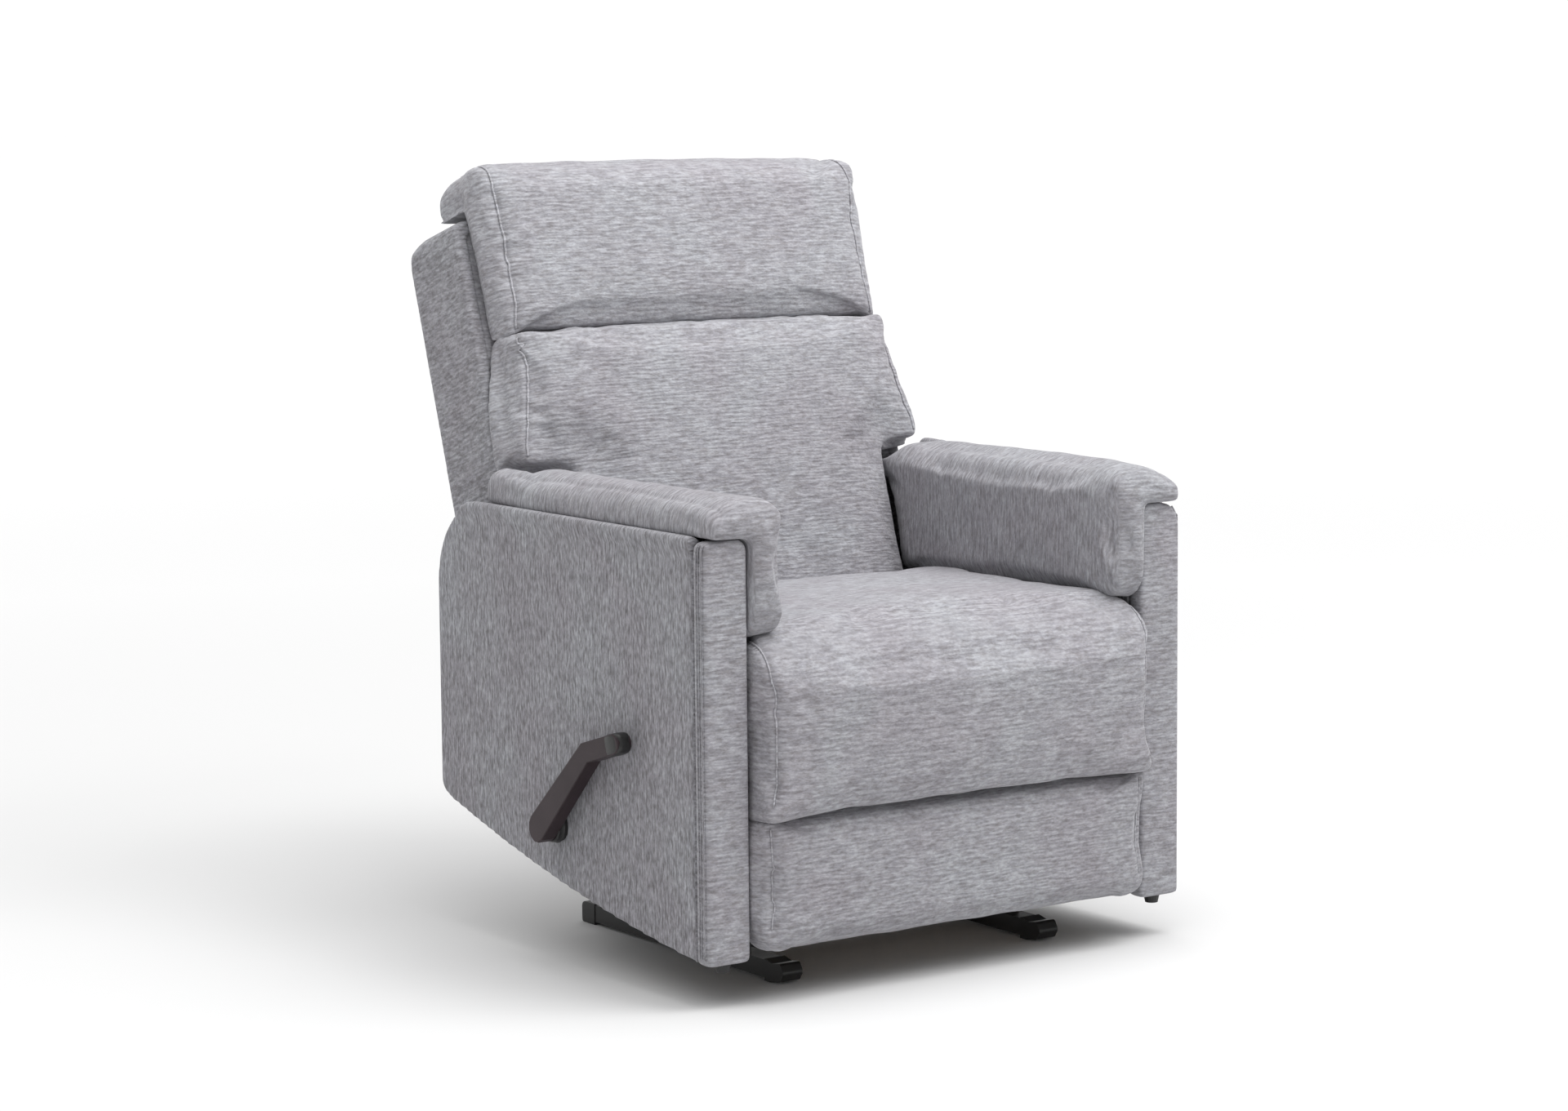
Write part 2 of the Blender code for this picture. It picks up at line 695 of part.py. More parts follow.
def front_post(side_name, side):
    """Upholstered front panel of an arm, with its outer top corner rounded."""
    corners = [
        (ARM_INNER, ARM_FLOOR_GAP, 0.006),
        (HALF_WIDTH, ARM_FLOOR_GAP, 0.004),
        (HALF_WIDTH, ARM_TOP, 0.030),
        (ARM_INNER, ARM_TOP, 0.004),
    ]
    outline = [(side * u, v) for u, v in rounded(corners)]
    post = flat_piece(outline, POST_T)
    place(post, f"arm_front_{side_name}", "chenille", "carriage", (0, POST_T / 2, 0), FRONT_VIEW)


def arm_board(side_name, side):
    """Inner board of the arm, which the mechanism plate is bolted to."""
    front = POST_T + GAP
    corners = [
        (front, BOARD_BOTTOM, 0),
        (BOARD_REAR - 0.120, BOARD_BOTTOM + 0.035, 0.030),
        (BOARD_REAR, BOARD_BOTTOM + 0.130, 0.030),
        (BOARD_REAR, ARM_TOP, 0),
        (front, ARM_TOP, 0),
    ]
    holes = [circle(LEVER_AXIS, LEVER_SHAFT_R + PIN_CLEARANCE)]
    board = side_plate(rounded(corners), side * (ARM_INNER + BOARD_T / 2), BOARD_T, holes)
    place_plate(board, f"arm_board_{side_name}", "plywood", "carriage")


def arm_pad(side_name, side):
    """Pad over the arm, with a drop down the arm's inner face."""
    inner_face = ARM_INNER - GAP
    outer = HALF_WIDTH - 0.002
    low = ARM_TOP + GAP
    slab = [
        (PAD_FRONT, low, 0.010),
        (PAD_REAR, low, 0.004),
        (PAD_REAR - 0.005, low + 0.020, 0.010),
        (PAD_REAR - 0.070, PAD_TOP, 0.040),
        (PAD_FRONT, PAD_TOP, 0.030),
    ]
    drop = [
        (PAD_FRONT, PAD_DROP_BOTTOM + 0.006, 0.030),
        (PAD_REAR - 0.075, PAD_DROP_BOTTOM, 0.010),
        (PAD_REAR - 0.030, low + 0.010, 0),
        (PAD_FRONT, low + 0.010, 0),
    ]
    pad = to_mesh(side_plate(rounded(slab), 0, outer - PAD_INNER))
    lower = to_mesh(side_plate(rounded(drop), 0, inner_face - PAD_INNER))
    for part in (pad, lower):
        part.matrix_world = Matrix.Identity(4)
    lower.location = (0, 0, side * (inner_face - outer) / 2)
    combine(pad, lower, "UNION")
    soften(pad, 0.008)
    where = (side * (PAD_INNER + outer) / 2, 0, 0)
    place(pad, f"arm_pad_{side_name}", "chenille", "carriage", where, SIDE_VIEW)


def arm_glide(side_name, side):
    """Nail-on glide below the front of the arm."""
    x = side * (HALF_WIDTH - POST_WIDTH / 2)
    y = POST_T / 2 + 0.003
    top = ARM_FLOOR_GAP - GAP
    glide = rod(GLIDE_R * 0.8, (x, y, top - GLIDE_H), (x, y, top), 16, tip_radius=GLIDE_R)
    place(glide, f"arm_glide_{side_name}", "black_plastic", "carriage")


def arms():
    for side_name, side in SIDES.items():
        side_panel(side_name, side)
        front_post(side_name, side)
        arm_board(side_name, side)
        arm_pad(side_name, side)
        arm_glide(side_name, side)


# ---------------------------------------------------------------- back, in its own leaning frame


def leaning_side_plate(outline, name, finish, x_middle, thickness, holes=()):
    """A plate in the back's frame: outline points are distance back and distance up."""
    plate = flat_piece(outline, thickness, holes)
    return place(plate, name, finish, "back_lean", (x_middle, 0, 0), SIDE_VIEW)


def back_bracket(side_name, side):
    """Steel bracket that turns on the recline pin and carries the back frame."""
    knee, top = (0.004, 0.080), (FRAME_MIDDLE_D, BACK_BRACKET_TOP)
    outline = bar_outline([(0, 0), knee, top], [0.020, 0.016, 0.011])
    x = side * (PLATE_OUTER - PLATE_STEP - PLATE_T / 2)
    bracket = to_mesh(flat_piece(outline, PLATE_T))
    pin_end = PLATE_STEP + PLATE_T / 2
    pin = rod(SHAFT_R, (0, 0, 0), (0, 0, side * pin_end), sides=16)
    combine(bracket, pin, "UNION")
    name = f"back_bracket_{side_name}"
    place(bracket, name, "black_steel", "back_lean", (x, 0, 0), SIDE_VIEW)


def back_frame():
    """Wooden frame of the back: two stiles and three rails in one glued piece."""
    half = PLATE_OUTER - PLATE_STEP - PLATE_T - GAP
    rails = FRAME_RAILS
    outline = [(-half, rails[0]), (half, rails[0]), (half, rails[-1]), (-half, rails[-1])]
    inner = half - STILE_W
    windows = [
        [(-inner, low), (inner, low), (inner, high), (-inner, high)]
        for low, high in ((rails[1], rails[2]), (rails[3], rails[4]))
    ]
    frame = flat_piece(outline, FRAME_T, windows)
    place(frame, "back_frame", "plywood", "back_lean", (0, FRAME_MIDDLE_D, 0), FRONT_VIEW)


def lumbar_cushion():
    """Lower back cushion, narrow between the arms and flared above them."""
    flare, low = LUMBAR_HALF_FLARE, LUMBAR_HALF_LOW
    right_half = [
        (low, LUMBAR_BOTTOM, 0.020),
        (low, LUMBAR_WING - 0.006, 0.004),
        (flare, LUMBAR_WING, 0.018),
        (flare - 0.020, LUMBAR_SHOULDER, 0.060),
        (SEAT_HALF, HEADREST_SPLIT - GAP, 0.008),
    ]
    corners = right_half + [(-u, v, r) for u, v, r in reversed(right_half)]
    cushion = flat_piece(rounded(corners), CUSHION_REAR_D - CUSHION_FRONT_D)
    soften(cushion, 0.008)
    middle = (CUSHION_REAR_D + CUSHION_FRONT_D) / 2
    place(cushion, "lumbar_cushion", "chenille", "back_lean", (0, middle, 0), FRONT_VIEW)


def headrest_cushion():
    """Upper back cushion, which rolls back over the top of the shell."""
    over = BACK_HEIGHT - HEADREST_ROLL_H
    corners = [
        (HEADREST_FRONT_D, HEADREST_SPLIT, 0.012),
        (CUSHION_REAR_D, HEADREST_SPLIT, 0.004),
        (CUSHION_REAR_D, over, 0),
        (HEADREST_ROLL_D, over, 0.010),
        (HEADREST_ROLL_D, BACK_HEIGHT, 0.040),
        (HEADREST_FRONT_D, BACK_HEIGHT, 0.030),
    ]
    cushion = leaning_side_plate(
        rounded(corners), "headrest_cushion", "chenille", 0, SEAT_HALF * 2 + 0.004
    )
    soften(cushion, 0.008)


def back_shell():
    """Upholstered outer back: a box open below and in front, with side strips above the arms."""
    low = Vector((-SHELL_HALF, CUSHION_REAR_D + GAP, SHELL_BOTTOM))
    high = Vector((SHELL_HALF, SHELL_REAR_D, SHELL_TOP))
    shape = bmesh.new()
    bmesh.ops.create_cube(shape, size=1)
    bmesh.ops.scale(shape, vec=high - low, verts=shape.verts)
    bmesh.ops.translate(shape, vec=(high + low) / 2, verts=shape.verts)
    parts = list(shape.verts) + list(shape.edges) + list(shape.faces)
    cut_at = (0, 0, SHELL_STRIP_BOTTOM)
    bmesh.ops.bisect_plane(shape, geom=parts, plane_co=cut_at, plane_no=(0, 0, 1))
    front = [face for face in shape.faces if face.normal.y < -0.9]
    below = [face for face in shape.faces if face.normal.z < -0.9]
    lower_front = [face for face in front if face.calc_center_median().z < SHELL_STRIP_BOTTOM]
    upper_front = [face for face in front if face not in lower_front]
    strip = SHELL_HALF - SEAT_HALF - 0.003
    bmesh.ops.inset_region(shape, faces=upper_front, thickness=strip)
    lower_rim = [
        face
        for face in shape.faces
        if face.normal.y < -0.9
        and face not in upper_front + lower_front
        and face.calc_center_median().z < SHELL_STRIP_BOTTOM + strip
    ]
    unwanted = below + lower_front + upper_front + lower_rim
    bmesh.ops.delete(shape, geom=unwanted, context="FACES")
    shell = mesh_object(shape)
    thick = shell.modifiers.new("Solidify", "SOLIDIFY")
    thick.thickness = SHELL_T
    thick.offset = -1
    thick.use_even_offset = True
    place(shell, "back_shell", "chenille", "back_lean")


def back():
    for side_name, side in SIDES.items():
        back_bracket(side_name, side)
    back_frame()
    lumbar_cushion()
    headrest_cushion()
    back_shell()


# ---------------------------------------------------------------- footrest


def plane_x(number):
    """Distance of a linkage plate's middle plane from the centre plane; 0 is the mechanism plate."""
    return PLATE_OUTER - PLATE_T / 2 - number * PLATE_STEP


def torque_tube():
    reach = PLATE_OUTER
    tube = pipe(TORQUE_R, TUBE_WALL, *TORQUE_AXIS, -reach, reach)
    place_plate(tube, "torque_tube", "zinc_steel", "torque")


def pinned_link(name, number, start, end, start_radius, parent, side_name, side):
    """A footrest link, which turns on a pin or tube at its start and carries its own pin at the end."""
    ends = [start, end]
    hole = circle(start, start_radius + PIN_CLEARANCE)
    outline = bar_outline(ends, [max(LINK_R, start_radius + 0.006), LINK_R])
    link = to_mesh(flat_piece(outline, PLATE_T, [hole]))
    pin_length = PLATE_STEP + PLATE_T / 2
    pin = rod(PIN_R, (*end, 0), (*end, -side * pin_length), sides=16)
    combine(link, pin, "UNION")
    where = (side * plane_x(number), 0, 0)
    place(link, f"{name}_{side_name}", "zinc_steel", parent, where, SIDE_VIEW)


def footrest_bracket(side_name, side):
    """Plate on the end of the footrest board, which turns on the last link's pin."""
    y, z = FOOTREST_AXIS
    corners = [
        (FOOT_BACK + GAP, FOOT_LOW + 0.040, 0.004),
        (FOOT_BACK + 0.014, FOOT_LOW + 0.040, 0.004),
        (y + 0.010, z - 0.020, 0.008),
        (y + 0.011, z + 0.011, 0.008),
        (FOOT_BACK + GAP, z + 0.011, 0.004),
    ]
    holes = [circle((y, z), PIN_R + PIN_CLEARANCE)]
    plate = side_plate(rounded(corners), side * plane_x(4), PLATE_T, holes)
    place_plate(plate, f"footrest_bracket_{side_name}", "zinc_steel", "footrest")


def footrest_panel():
    """The board and its padded cover, which hang below the front of the seat when folded."""
    start = FOOT_BACK + GAP
    board = box(
        (-FOOT_BOARD_HALF, start, FOOT_LOW + 0.012),
        (FOOT_BOARD_HALF, start + FOOT_BOARD_T, FOOT_HIGH - 0.006),
    )
    place(board, "footrest_board", "plywood", "footrest")
    corners = [
        (FOOT_FRONT, FOOT_LOW, 0.014),
        (FOOT_BACK, FOOT_LOW, 0.006),
        (FOOT_BACK, FOOT_HIGH, 0.004),
        (FOOT_FRONT, FOOT_HIGH, 0.014),
    ]
    pad = side_plate(rounded(corners), 0, FOOT_HALF * 2)
    soften(pad, 0.008)
    place_plate(pad, "footrest_pad", "chenille", "footrest")


def footrest():
    torque_tube()
    for side_name, side in SIDES.items():
        ends = (side_name, side)
        pinned_link("lift_link", 1, TORQUE_AXIS, ELBOW_AXIS, TORQUE_R, "torque", *ends)
        pinned_link("cross_link", 2, ELBOW_AXIS, KNEE_AXIS, PIN_R, "elbow", *ends)
        pinned_link("front_link", 3, KNEE_AXIS, FOOTREST_AXIS, PIN_R, "knee", *ends)
        footrest_bracket(side_name, side)
    footrest_panel()


# ---------------------------------------------------------------- lever


def lever():
    """Release lever on the sitter's right: bezel on the panel, shaft through the arm, cranked handle."""
    y, z = LEVER_AXIS
    bezel_face = HALF_WIDTH + GAP + BEZEL_T
    ring = side_plate(
        circle((y, z), LEVER_HUB_R + 0.002),
        -(bezel_face - BEZEL_T / 2),
        BEZEL_T,
        [circle((y, z), LEVER_SHAFT_R + PIN_CLEARANCE)],
    )
    place_plate(ring, "lever_bezel", "black_plastic", "carriage")
    inner_end = PLATE_OUTER - PLATE_T - 0.004
    hub_face = LEVER_FACE - LEVER_T
    shaft_end = hub_face - GAP
    shaft = rod(LEVER_SHAFT_R, (-inner_end, y, z), (-shaft_end, y, z))
    place(shaft, "lever_shaft", "zinc_steel", "lever")
    elbow = (y + LEVER_ELBOW[0], z + LEVER_ELBOW[1])
    tip = (y + LEVER_TIP[0], z + LEVER_TIP[1])
    outline = bar_outline([(y, z), elbow, tip], [LEVER_HUB_R, LEVER_GRIP_R + 0.001, LEVER_GRIP_R])
    grip = side_plate(outline, -(LEVER_FACE - LEVER_T / 2), LEVER_T)
    soften(grip, 0.004)
    place_plate(grip, "lever_handle", "lever_plastic", "lever")


add_joints()
glider_base()
carriage_frame()
arms()
back()
footrest()
lever()
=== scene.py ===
"""Looks of the recliner armchair: upholstery, seams, finishes, camera and light."""

import json
import math

import bpy
import numpy as np
from mathutils import Matrix, Vector
from mathutils.bvhtree import BVHTree
from mathutils.kdtree import KDTree


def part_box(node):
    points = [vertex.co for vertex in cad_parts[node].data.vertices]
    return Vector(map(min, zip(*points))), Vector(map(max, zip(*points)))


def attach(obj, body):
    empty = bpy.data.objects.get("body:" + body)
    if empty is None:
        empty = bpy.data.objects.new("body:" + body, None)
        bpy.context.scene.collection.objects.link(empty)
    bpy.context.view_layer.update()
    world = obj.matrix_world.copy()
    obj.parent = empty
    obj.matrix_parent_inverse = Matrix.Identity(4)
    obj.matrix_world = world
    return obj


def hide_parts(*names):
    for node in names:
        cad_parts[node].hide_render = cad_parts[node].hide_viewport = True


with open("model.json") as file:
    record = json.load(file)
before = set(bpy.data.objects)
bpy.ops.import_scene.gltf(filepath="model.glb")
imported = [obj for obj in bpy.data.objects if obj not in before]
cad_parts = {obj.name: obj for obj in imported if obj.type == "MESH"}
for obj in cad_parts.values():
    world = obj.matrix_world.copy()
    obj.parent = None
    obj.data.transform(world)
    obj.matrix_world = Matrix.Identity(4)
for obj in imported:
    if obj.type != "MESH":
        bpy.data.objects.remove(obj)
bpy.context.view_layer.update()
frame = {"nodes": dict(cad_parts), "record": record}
NODES = frame["nodes"]
JOINTS = {joint["name"]: Vector(joint["pos_m"]) for joint in frame["record"]["behaviour"]["joints"]}
SIDES = {"left": 1, "right": -1}

# The chair's own frame: x from the centre plane, y back from the arm fronts, z from the floor
ORIGIN = Vector((JOINTS["recline"].x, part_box("arm_front_left")[0][1], 0))
BACK_TILT = math.radians(18)

CAMERA_PLACE = (-3.0063, -4.4127, 1.1685)
CAMERA_AZIMUTH = math.radians(-34.4984)
CAMERA_PITCH = math.radians(6.907)
CAMERA_ROLL = math.radians(-0.5089)
CAMERA_LENS_MM = 88.40
SENSOR_MM = 36


def edges(node):
    """The two corners of a CAD node's box in the chair's own frame, to 0.01 mm."""
    return [[round(value - start, 5) for value, start in zip(corner, ORIGIN)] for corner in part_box(node)]


(_, SEAT_FRONT, _), (SEAT_HALF_WIDTH, _, SEAT_TOP) = edges("seat_cushion")
(_, _, FOOTREST_LOW), (FOOTREST_HALF_WIDTH, _, FOOTREST_TOP) = edges("footrest_pad")
(PANEL_INNER, _, _), (PANEL_OUTER, _, PANEL_TOP) = edges("arm_front_left")
(PAD_INNER, PAD_FRONT, _), (_, _, PAD_TOP) = edges("arm_pad_left")

# The arm with the lever has a squarer top corner
SQUARED_ARM = "right"
# Half widths are taken from this greater one where they have to grow inward
OUTSIDE = 0.70
# The back widens above the arms, this far up it from the recline axis
SHOULDER = 0.345


def chair(x, y, z):
    """A point of the chair's own frame in the row frame."""
    return ORIGIN + Vector((x, y, z))


def lean(x, s, d):
    """A point of the leaning back, s up along it and d behind it from the recline axis."""
    axis = JOINTS["recline"]
    up = Vector((0, math.sin(BACK_TILT), math.cos(BACK_TILT)))
    rearward = Vector((0, math.cos(BACK_TILT), -math.sin(BACK_TILT)))
    return Vector((axis.x + x, axis.y, axis.z)) + up * s + rearward * d


# ---------------------------------------------------------------- stage


def add_camera():
    level = math.cos(CAMERA_PITCH)
    away = Vector(
        (math.sin(CAMERA_AZIMUTH) * level, -math.cos(CAMERA_AZIMUTH) * level, math.sin(CAMERA_PITCH))
    )
    right = (-away).cross(Vector((0, 0, 1))).normalized()
    up = right.cross(-away)
    side = right * math.cos(CAMERA_ROLL) + up * math.sin(CAMERA_ROLL)
    top = up * math.cos(CAMERA_ROLL) - right * math.sin(CAMERA_ROLL)
    data = bpy.data.cameras.new("camera")
    data.lens = CAMERA_LENS_MM
    data.sensor_width = SENSOR_MM
    camera = bpy.data.objects.new("camera", data)
    bpy.context.scene.collection.objects.link(camera)
    turn = Matrix((side, top, away)).transposed().to_4x4()
    camera.matrix_world = Matrix.Translation(CAMERA_PLACE) @ turn
    bpy.context.scene.camera = camera


def area_light(name, place, power):
    """A square light, aimed at the middle of the chair."""
    target = Vector((0, 0, 0.5))
    data = bpy.data.lights.new(name, "AREA")
    data.shape = "SQUARE"
    data.size = 2.0
    data.energy = power
    light = bpy.data.objects.new(name, data)
    bpy.context.scene.collection.objects.link(light)
    light.location = place
    light.rotation_euler = (target - Vector(place)).to_track_quat("-Z", "Y").to_euler()


def add_sky():
    """A grey sky: white at the horizon, dim above it and bright overhead."""
    levels = ((0.07, 0.76), (0.30, 0.16), (0.50, 0.24), (0.70, 1.0))
    world = bpy.data.worlds.new("studio")
    bpy.context.scene.world = world
    world.use_nodes = True
    tree = world.node_tree
    place = tree.nodes.new("ShaderNodeTexCoord")
    split = tree.nodes.new("ShaderNodeSeparateXYZ")
    heights = tree.nodes.new("ShaderNodeValToRGB")
    while len(heights.color_ramp.elements) < len(levels):
        heights.color_ramp.elements.new(0.5)
    for stop, (height, level) in zip(heights.color_ramp.elements, levels):
        stop.position = height
        stop.color = (level, level, level, 1)
    sky = tree.nodes["Background"]
    sky.inputs["Strength"].default_value = 1.45
    tree.links.new(place.outputs["Generated"], split.inputs["Vector"])
    tree.links.new(split.outputs["Z"], heights.inputs["Fac"])
    tree.links.new(heights.outputs["Color"], sky.inputs["Color"])


def add_floor():
    """A floor a little greyer under the lights than far off, so that it comes out evenly pale."""
    side, grey_radius = 200, 8
    bpy.ops.mesh.primitive_plane_add(size=side)
    floor = bpy.context.object
    floor.name = "studio_floor"
    graph = Graph("studio_floor", 1.0)
    nearness = graph.tree.nodes.new("ShaderNodeTexGradient")
    nearness.gradient_type = "SPHERICAL"
    graph.link(graph.mapped([1 / grey_radius] * 3), nearness.inputs["Vector"])
    shade = graph.ramp(nearness.outputs["Fac"], [(0.0, grey(0.97)), (0.5, grey(0.84)), (0.81, grey(0.68))])
    graph.link(shade, graph.shader.inputs["Base Color"])
    floor.data.materials.append(graph.material)


def add_stage():
    add_sky()
    area_light("key", (1.2, -1.9, 3.5), 60)
    area_light("top", (0.1, -0.6, 3.6), 44)
    bpy.context.scene.view_settings.view_transform = "Standard"
    add_floor()


# ---------------------------------------------------------------- materials


class Graph:
    """Shortens the building of a material's nodes."""

    def __init__(self, name, roughness, metallic=0.0):
        self.material = bpy.data.materials.new(name)
        self.material.use_nodes = True
        self.tree = self.material.node_tree
        self.shader = self.tree.nodes["Principled BSDF"]
        self.shader.inputs["Base Color"].default_value = (0.5, 0.5, 0.5, 1)
        self.shader.inputs["Roughness"].default_value = roughness
        self.shader.inputs["Metallic"].default_value = metallic
        coordinates = self.tree.nodes.new("ShaderNodeTexCoord")
        self.place = coordinates.outputs["Object"]
        self.normal = coordinates.outputs["Normal"]

    def link(self, source, socket):
        self.tree.links.new(source, socket)

    def mapped(self, scale=(1, 1, 1), turn=(0, 0, 0), source=None):
        node = self.tree.nodes.new("ShaderNodeMapping")
        node.inputs["Scale"].default_value = scale
        node.inputs["Rotation"].default_value = turn
        self.link(source or self.place, node.inputs["Vector"])
        return node.outputs["Vector"]

    def noise(self, vector, scale, detail=2.0, rough=0.5, distortion=0.0):
        node = self.tree.nodes.new("ShaderNodeTexNoise")
        node.inputs["Scale"].default_value = scale
        node.inputs["Detail"].default_value = detail
        node.inputs["Roughness"].default_value = rough
        node.inputs["Distortion"].default_value = distortion
        self.link(vector, node.inputs["Vector"])
        return node.outputs["Fac"]

    def ramp(self, value, stops):
        node = self.tree.nodes.new("ShaderNodeValToRGB")
        ramp = node.color_ramp
        while len(ramp.elements) < len(stops):
            ramp.elements.new(0.5)
        for element, (at, colour) in zip(ramp.elements, stops):
            element.position = at
            element.color = (*colour, 1)
        self.link(value, node.inputs["Fac"])
        return node.outputs["Color"]

    def multiplied(self, share, first, second):
        node = self.tree.nodes.new("ShaderNodeMix")
        node.data_type = "RGBA"
        node.blend_type = "MULTIPLY"
        node.inputs["Factor"].default_value = share
        self.link(first, node.inputs["A"])
        self.link(second, node.inputs["B"])
        return node.outputs["Result"]

    def maths(self, kind, first, second):
        node = self.tree.nodes.new("ShaderNodeMath")
        node.operation = kind
        for socket, value in zip(node.inputs, (first, second)):
            if isinstance(value, (int, float)):
                socket.default_value = value
            else:
                self.link(value, socket)
        return node.outputs["Value"]

    def bump(self, height, strength, distance):
        node = self.tree.nodes.new("ShaderNodeBump")
        node.inputs["Strength"].default_value = strength
        node.inputs["Distance"].default_value = distance
        self.link(height, node.inputs["Height"])
        self.link(node.outputs["Normal"], self.shader.inputs["Normal"])


def grey(value, warm=0.0):
    """A grey, or with warm above zero a brownish one."""
    return (value * (1 + warm), value * (1 - warm * 0.3), value * (1 + warm * 0.1))


def chenille(name, vary, shade=1.0, contrast=1.0):
    """Grey chenille. Its ribs lie in planes square to one axis: Y, Z, or S, the line up the back."""
    graph = Graph(name, 0.93)
    lean_turn = (BACK_TILT, 0, 0) if vary == "S" else (0, 0, 0)
    place = graph.mapped(turn=lean_turn)
    facing = graph.tree.nodes.new("ShaderNodeSeparateXYZ")
    graph.link(graph.mapped(turn=lean_turn, source=graph.normal), facing.inputs["Vector"])
    across = "Y" if vary == "Y" else "Z"
    other = "Z" if vary == "Y" else "Y"
    ends_on = graph.maths("ABSOLUTE", facing.outputs[across], 0)
    ends_on = graph.ramp(ends_on, [(0.62, (0, 0, 0)), (0.84, (1, 1, 1))])

    def woven(ratio, scale, detail=2.0, rough=0.5):
        sides = graph.mapped([1 if axis == across else ratio for axis in "XYZ"], source=place)
        ends = graph.mapped([1 if axis == other else ratio for axis in "XYZ"], source=place)
        both = graph.tree.nodes.new("ShaderNodeMix")
        graph.link(ends_on, both.inputs[0])
        graph.link(graph.noise(sides, scale, detail, rough), both.inputs[2])
        graph.link(graph.noise(ends, scale, detail, rough), both.inputs[3])
        return both.outputs[0]

    rib = woven(0.12, 290, 0.0, 0.0)
    slub = woven(0.36, 260, 2.0, 0.6)
    fleck = woven(0.50, 450, 1.0)
    streak = woven(0.40, 120, 2.0, 0.6)
    patch = graph.noise(place, 6.5, 3.0, 0.55, 0.5)
    # Shade scales the grey: the copies below 1 carry painted shade and the one above 1 painted highlight;
    # contrast widens the mottle
    mid = 0.306 * shade
    dark, light = mid - 0.068 * shade * contrast, mid + 0.078 * shade * contrast
    colour = graph.ramp(
        slub,
        [
            (0.30, (dark * 1.01, dark * 0.985, dark * 1.01)),
            (0.49, (mid, mid, mid * 1.045)),
            (0.70, (light * 0.985, light * 0.995, light * 1.05)),
        ],
    )
    gaps = graph.ramp(rib, [(0.36, (0.82, 0.815, 0.825)), (0.60, (1.08, 1.08, 1.08))])
    colour = graph.multiplied(0.85, colour, gaps)
    specks = graph.ramp(fleck, [(0.36, (0.92, 0.915, 0.92)), (0.66, (1.08, 1.08, 1.085))])
    colour = graph.multiplied(0.9, colour, specks)
    bands = graph.ramp(streak, [(0.34, (0.97, 0.965, 0.97)), (0.66, (1.025, 1.025, 1.03))])
    colour = graph.multiplied(0.9, colour, bands)
    brushed = graph.ramp(patch, [(0.36, (0.935, 0.91, 0.925)), (0.64, (1.03, 1.04, 1.045))])
    colour = graph.multiplied(1.0, colour, brushed)
    graph.link(colour, graph.shader.inputs["Base Color"])
    graph.bump(graph.maths("ADD", rib, graph.maths("MULTIPLY", fleck, 0.5)), 0.6, 0.0020)
    graph.shader.inputs["Sheen Weight"].default_value = 0.25
    graph.shader.inputs["Sheen Roughness"].default_value = 0.45
    graph.shader.inputs["Sheen Tint"].default_value = (0.85, 0.85, 0.88, 1)
    graph.shader.inputs["Specular IOR Level"].default_value = 0.12
    return graph.material


def powder_coat():
    graph = Graph("black_powder_coat", 0.48)
    peel = graph.noise(graph.place, 900, 2.0)
    wear = graph.noise(graph.place, 14, 4.0, 0.6)
    graph.link(graph.ramp(wear, [(0.3, grey(0.010)), (0.7, grey(0.022))]), graph.shader.inputs["Base Color"])
    rough = graph.ramp(wear, [(0.3, grey(0.42)), (0.7, grey(0.58))])
    graph.link(rough, graph.shader.inputs["Roughness"])
    graph.bump(peel, 0.25, 0.0004)
    return graph.material


def zinc(name, tone):
    graph = Graph(name, 0.34, 1.0)
    brushed = graph.noise(graph.mapped((60, 4, 4)), 22, 3.0, 0.6)
    stain = graph.noise(graph.place, 30, 4.0, 0.6)
    colour = graph.ramp(stain, [(0.3, grey(tone * 0.75, 0.02)), (0.7, grey(tone * 1.15, 0.01))])
    graph.link(colour, graph.shader.inputs["Base Color"])
    graph.link(graph.ramp(brushed, [(0.3, grey(0.26)), (0.7, grey(0.50))]), graph.shader.inputs["Roughness"])
    graph.bump(brushed, 0.10, 0.0003)
    return graph.material


def moulded(name, low, high, roughness, warm=0.0, specular=0.5):
    graph = Graph(name, roughness)
    graph.shader.inputs["Specular IOR Level"].default_value = specular
    cloud = graph.noise(graph.place, 20, 3.0)
    grain = graph.noise(graph.place, 1100, 3.0, 0.6)
    colour = graph.ramp(cloud, [(0.3, grey(low, warm)), (0.7, grey(high, warm))])
    graph.link(colour, graph.shader.inputs["Base Color"])
    shine = graph.ramp(grain, [(0.3, grey(roughness - 0.08)), (0.7, grey(roughness + 0.10))])
    graph.link(shine, graph.shader.inputs["Roughness"])
    graph.bump(grain, 0.20, 0.0003)
    return graph.material


def timber():
    graph = Graph("bare_timber", 0.7)
    grain = graph.noise(graph.mapped((0.08, 1, 1)), 90, 5.0, 0.62, 0.8)
    pore = graph.noise(graph.mapped((0.03, 1, 1)), 600, 2.0)
    colour = graph.ramp(
        grain, [(0.30, (0.30, 0.18, 0.09)), (0.50, (0.50, 0.33, 0.18)), (0.75, (0.63, 0.45, 0.27))]
    )
    dark = graph.ramp(pore, [(0.35, (0.72, 0.68, 0.62)), (0.55, (1, 1, 1))])
    graph.link(graph.multiplied(0.7, colour, dark), graph.shader.inputs["Base Color"])
    graph.bump(grain, 0.2, 0.0006)
    return graph.material


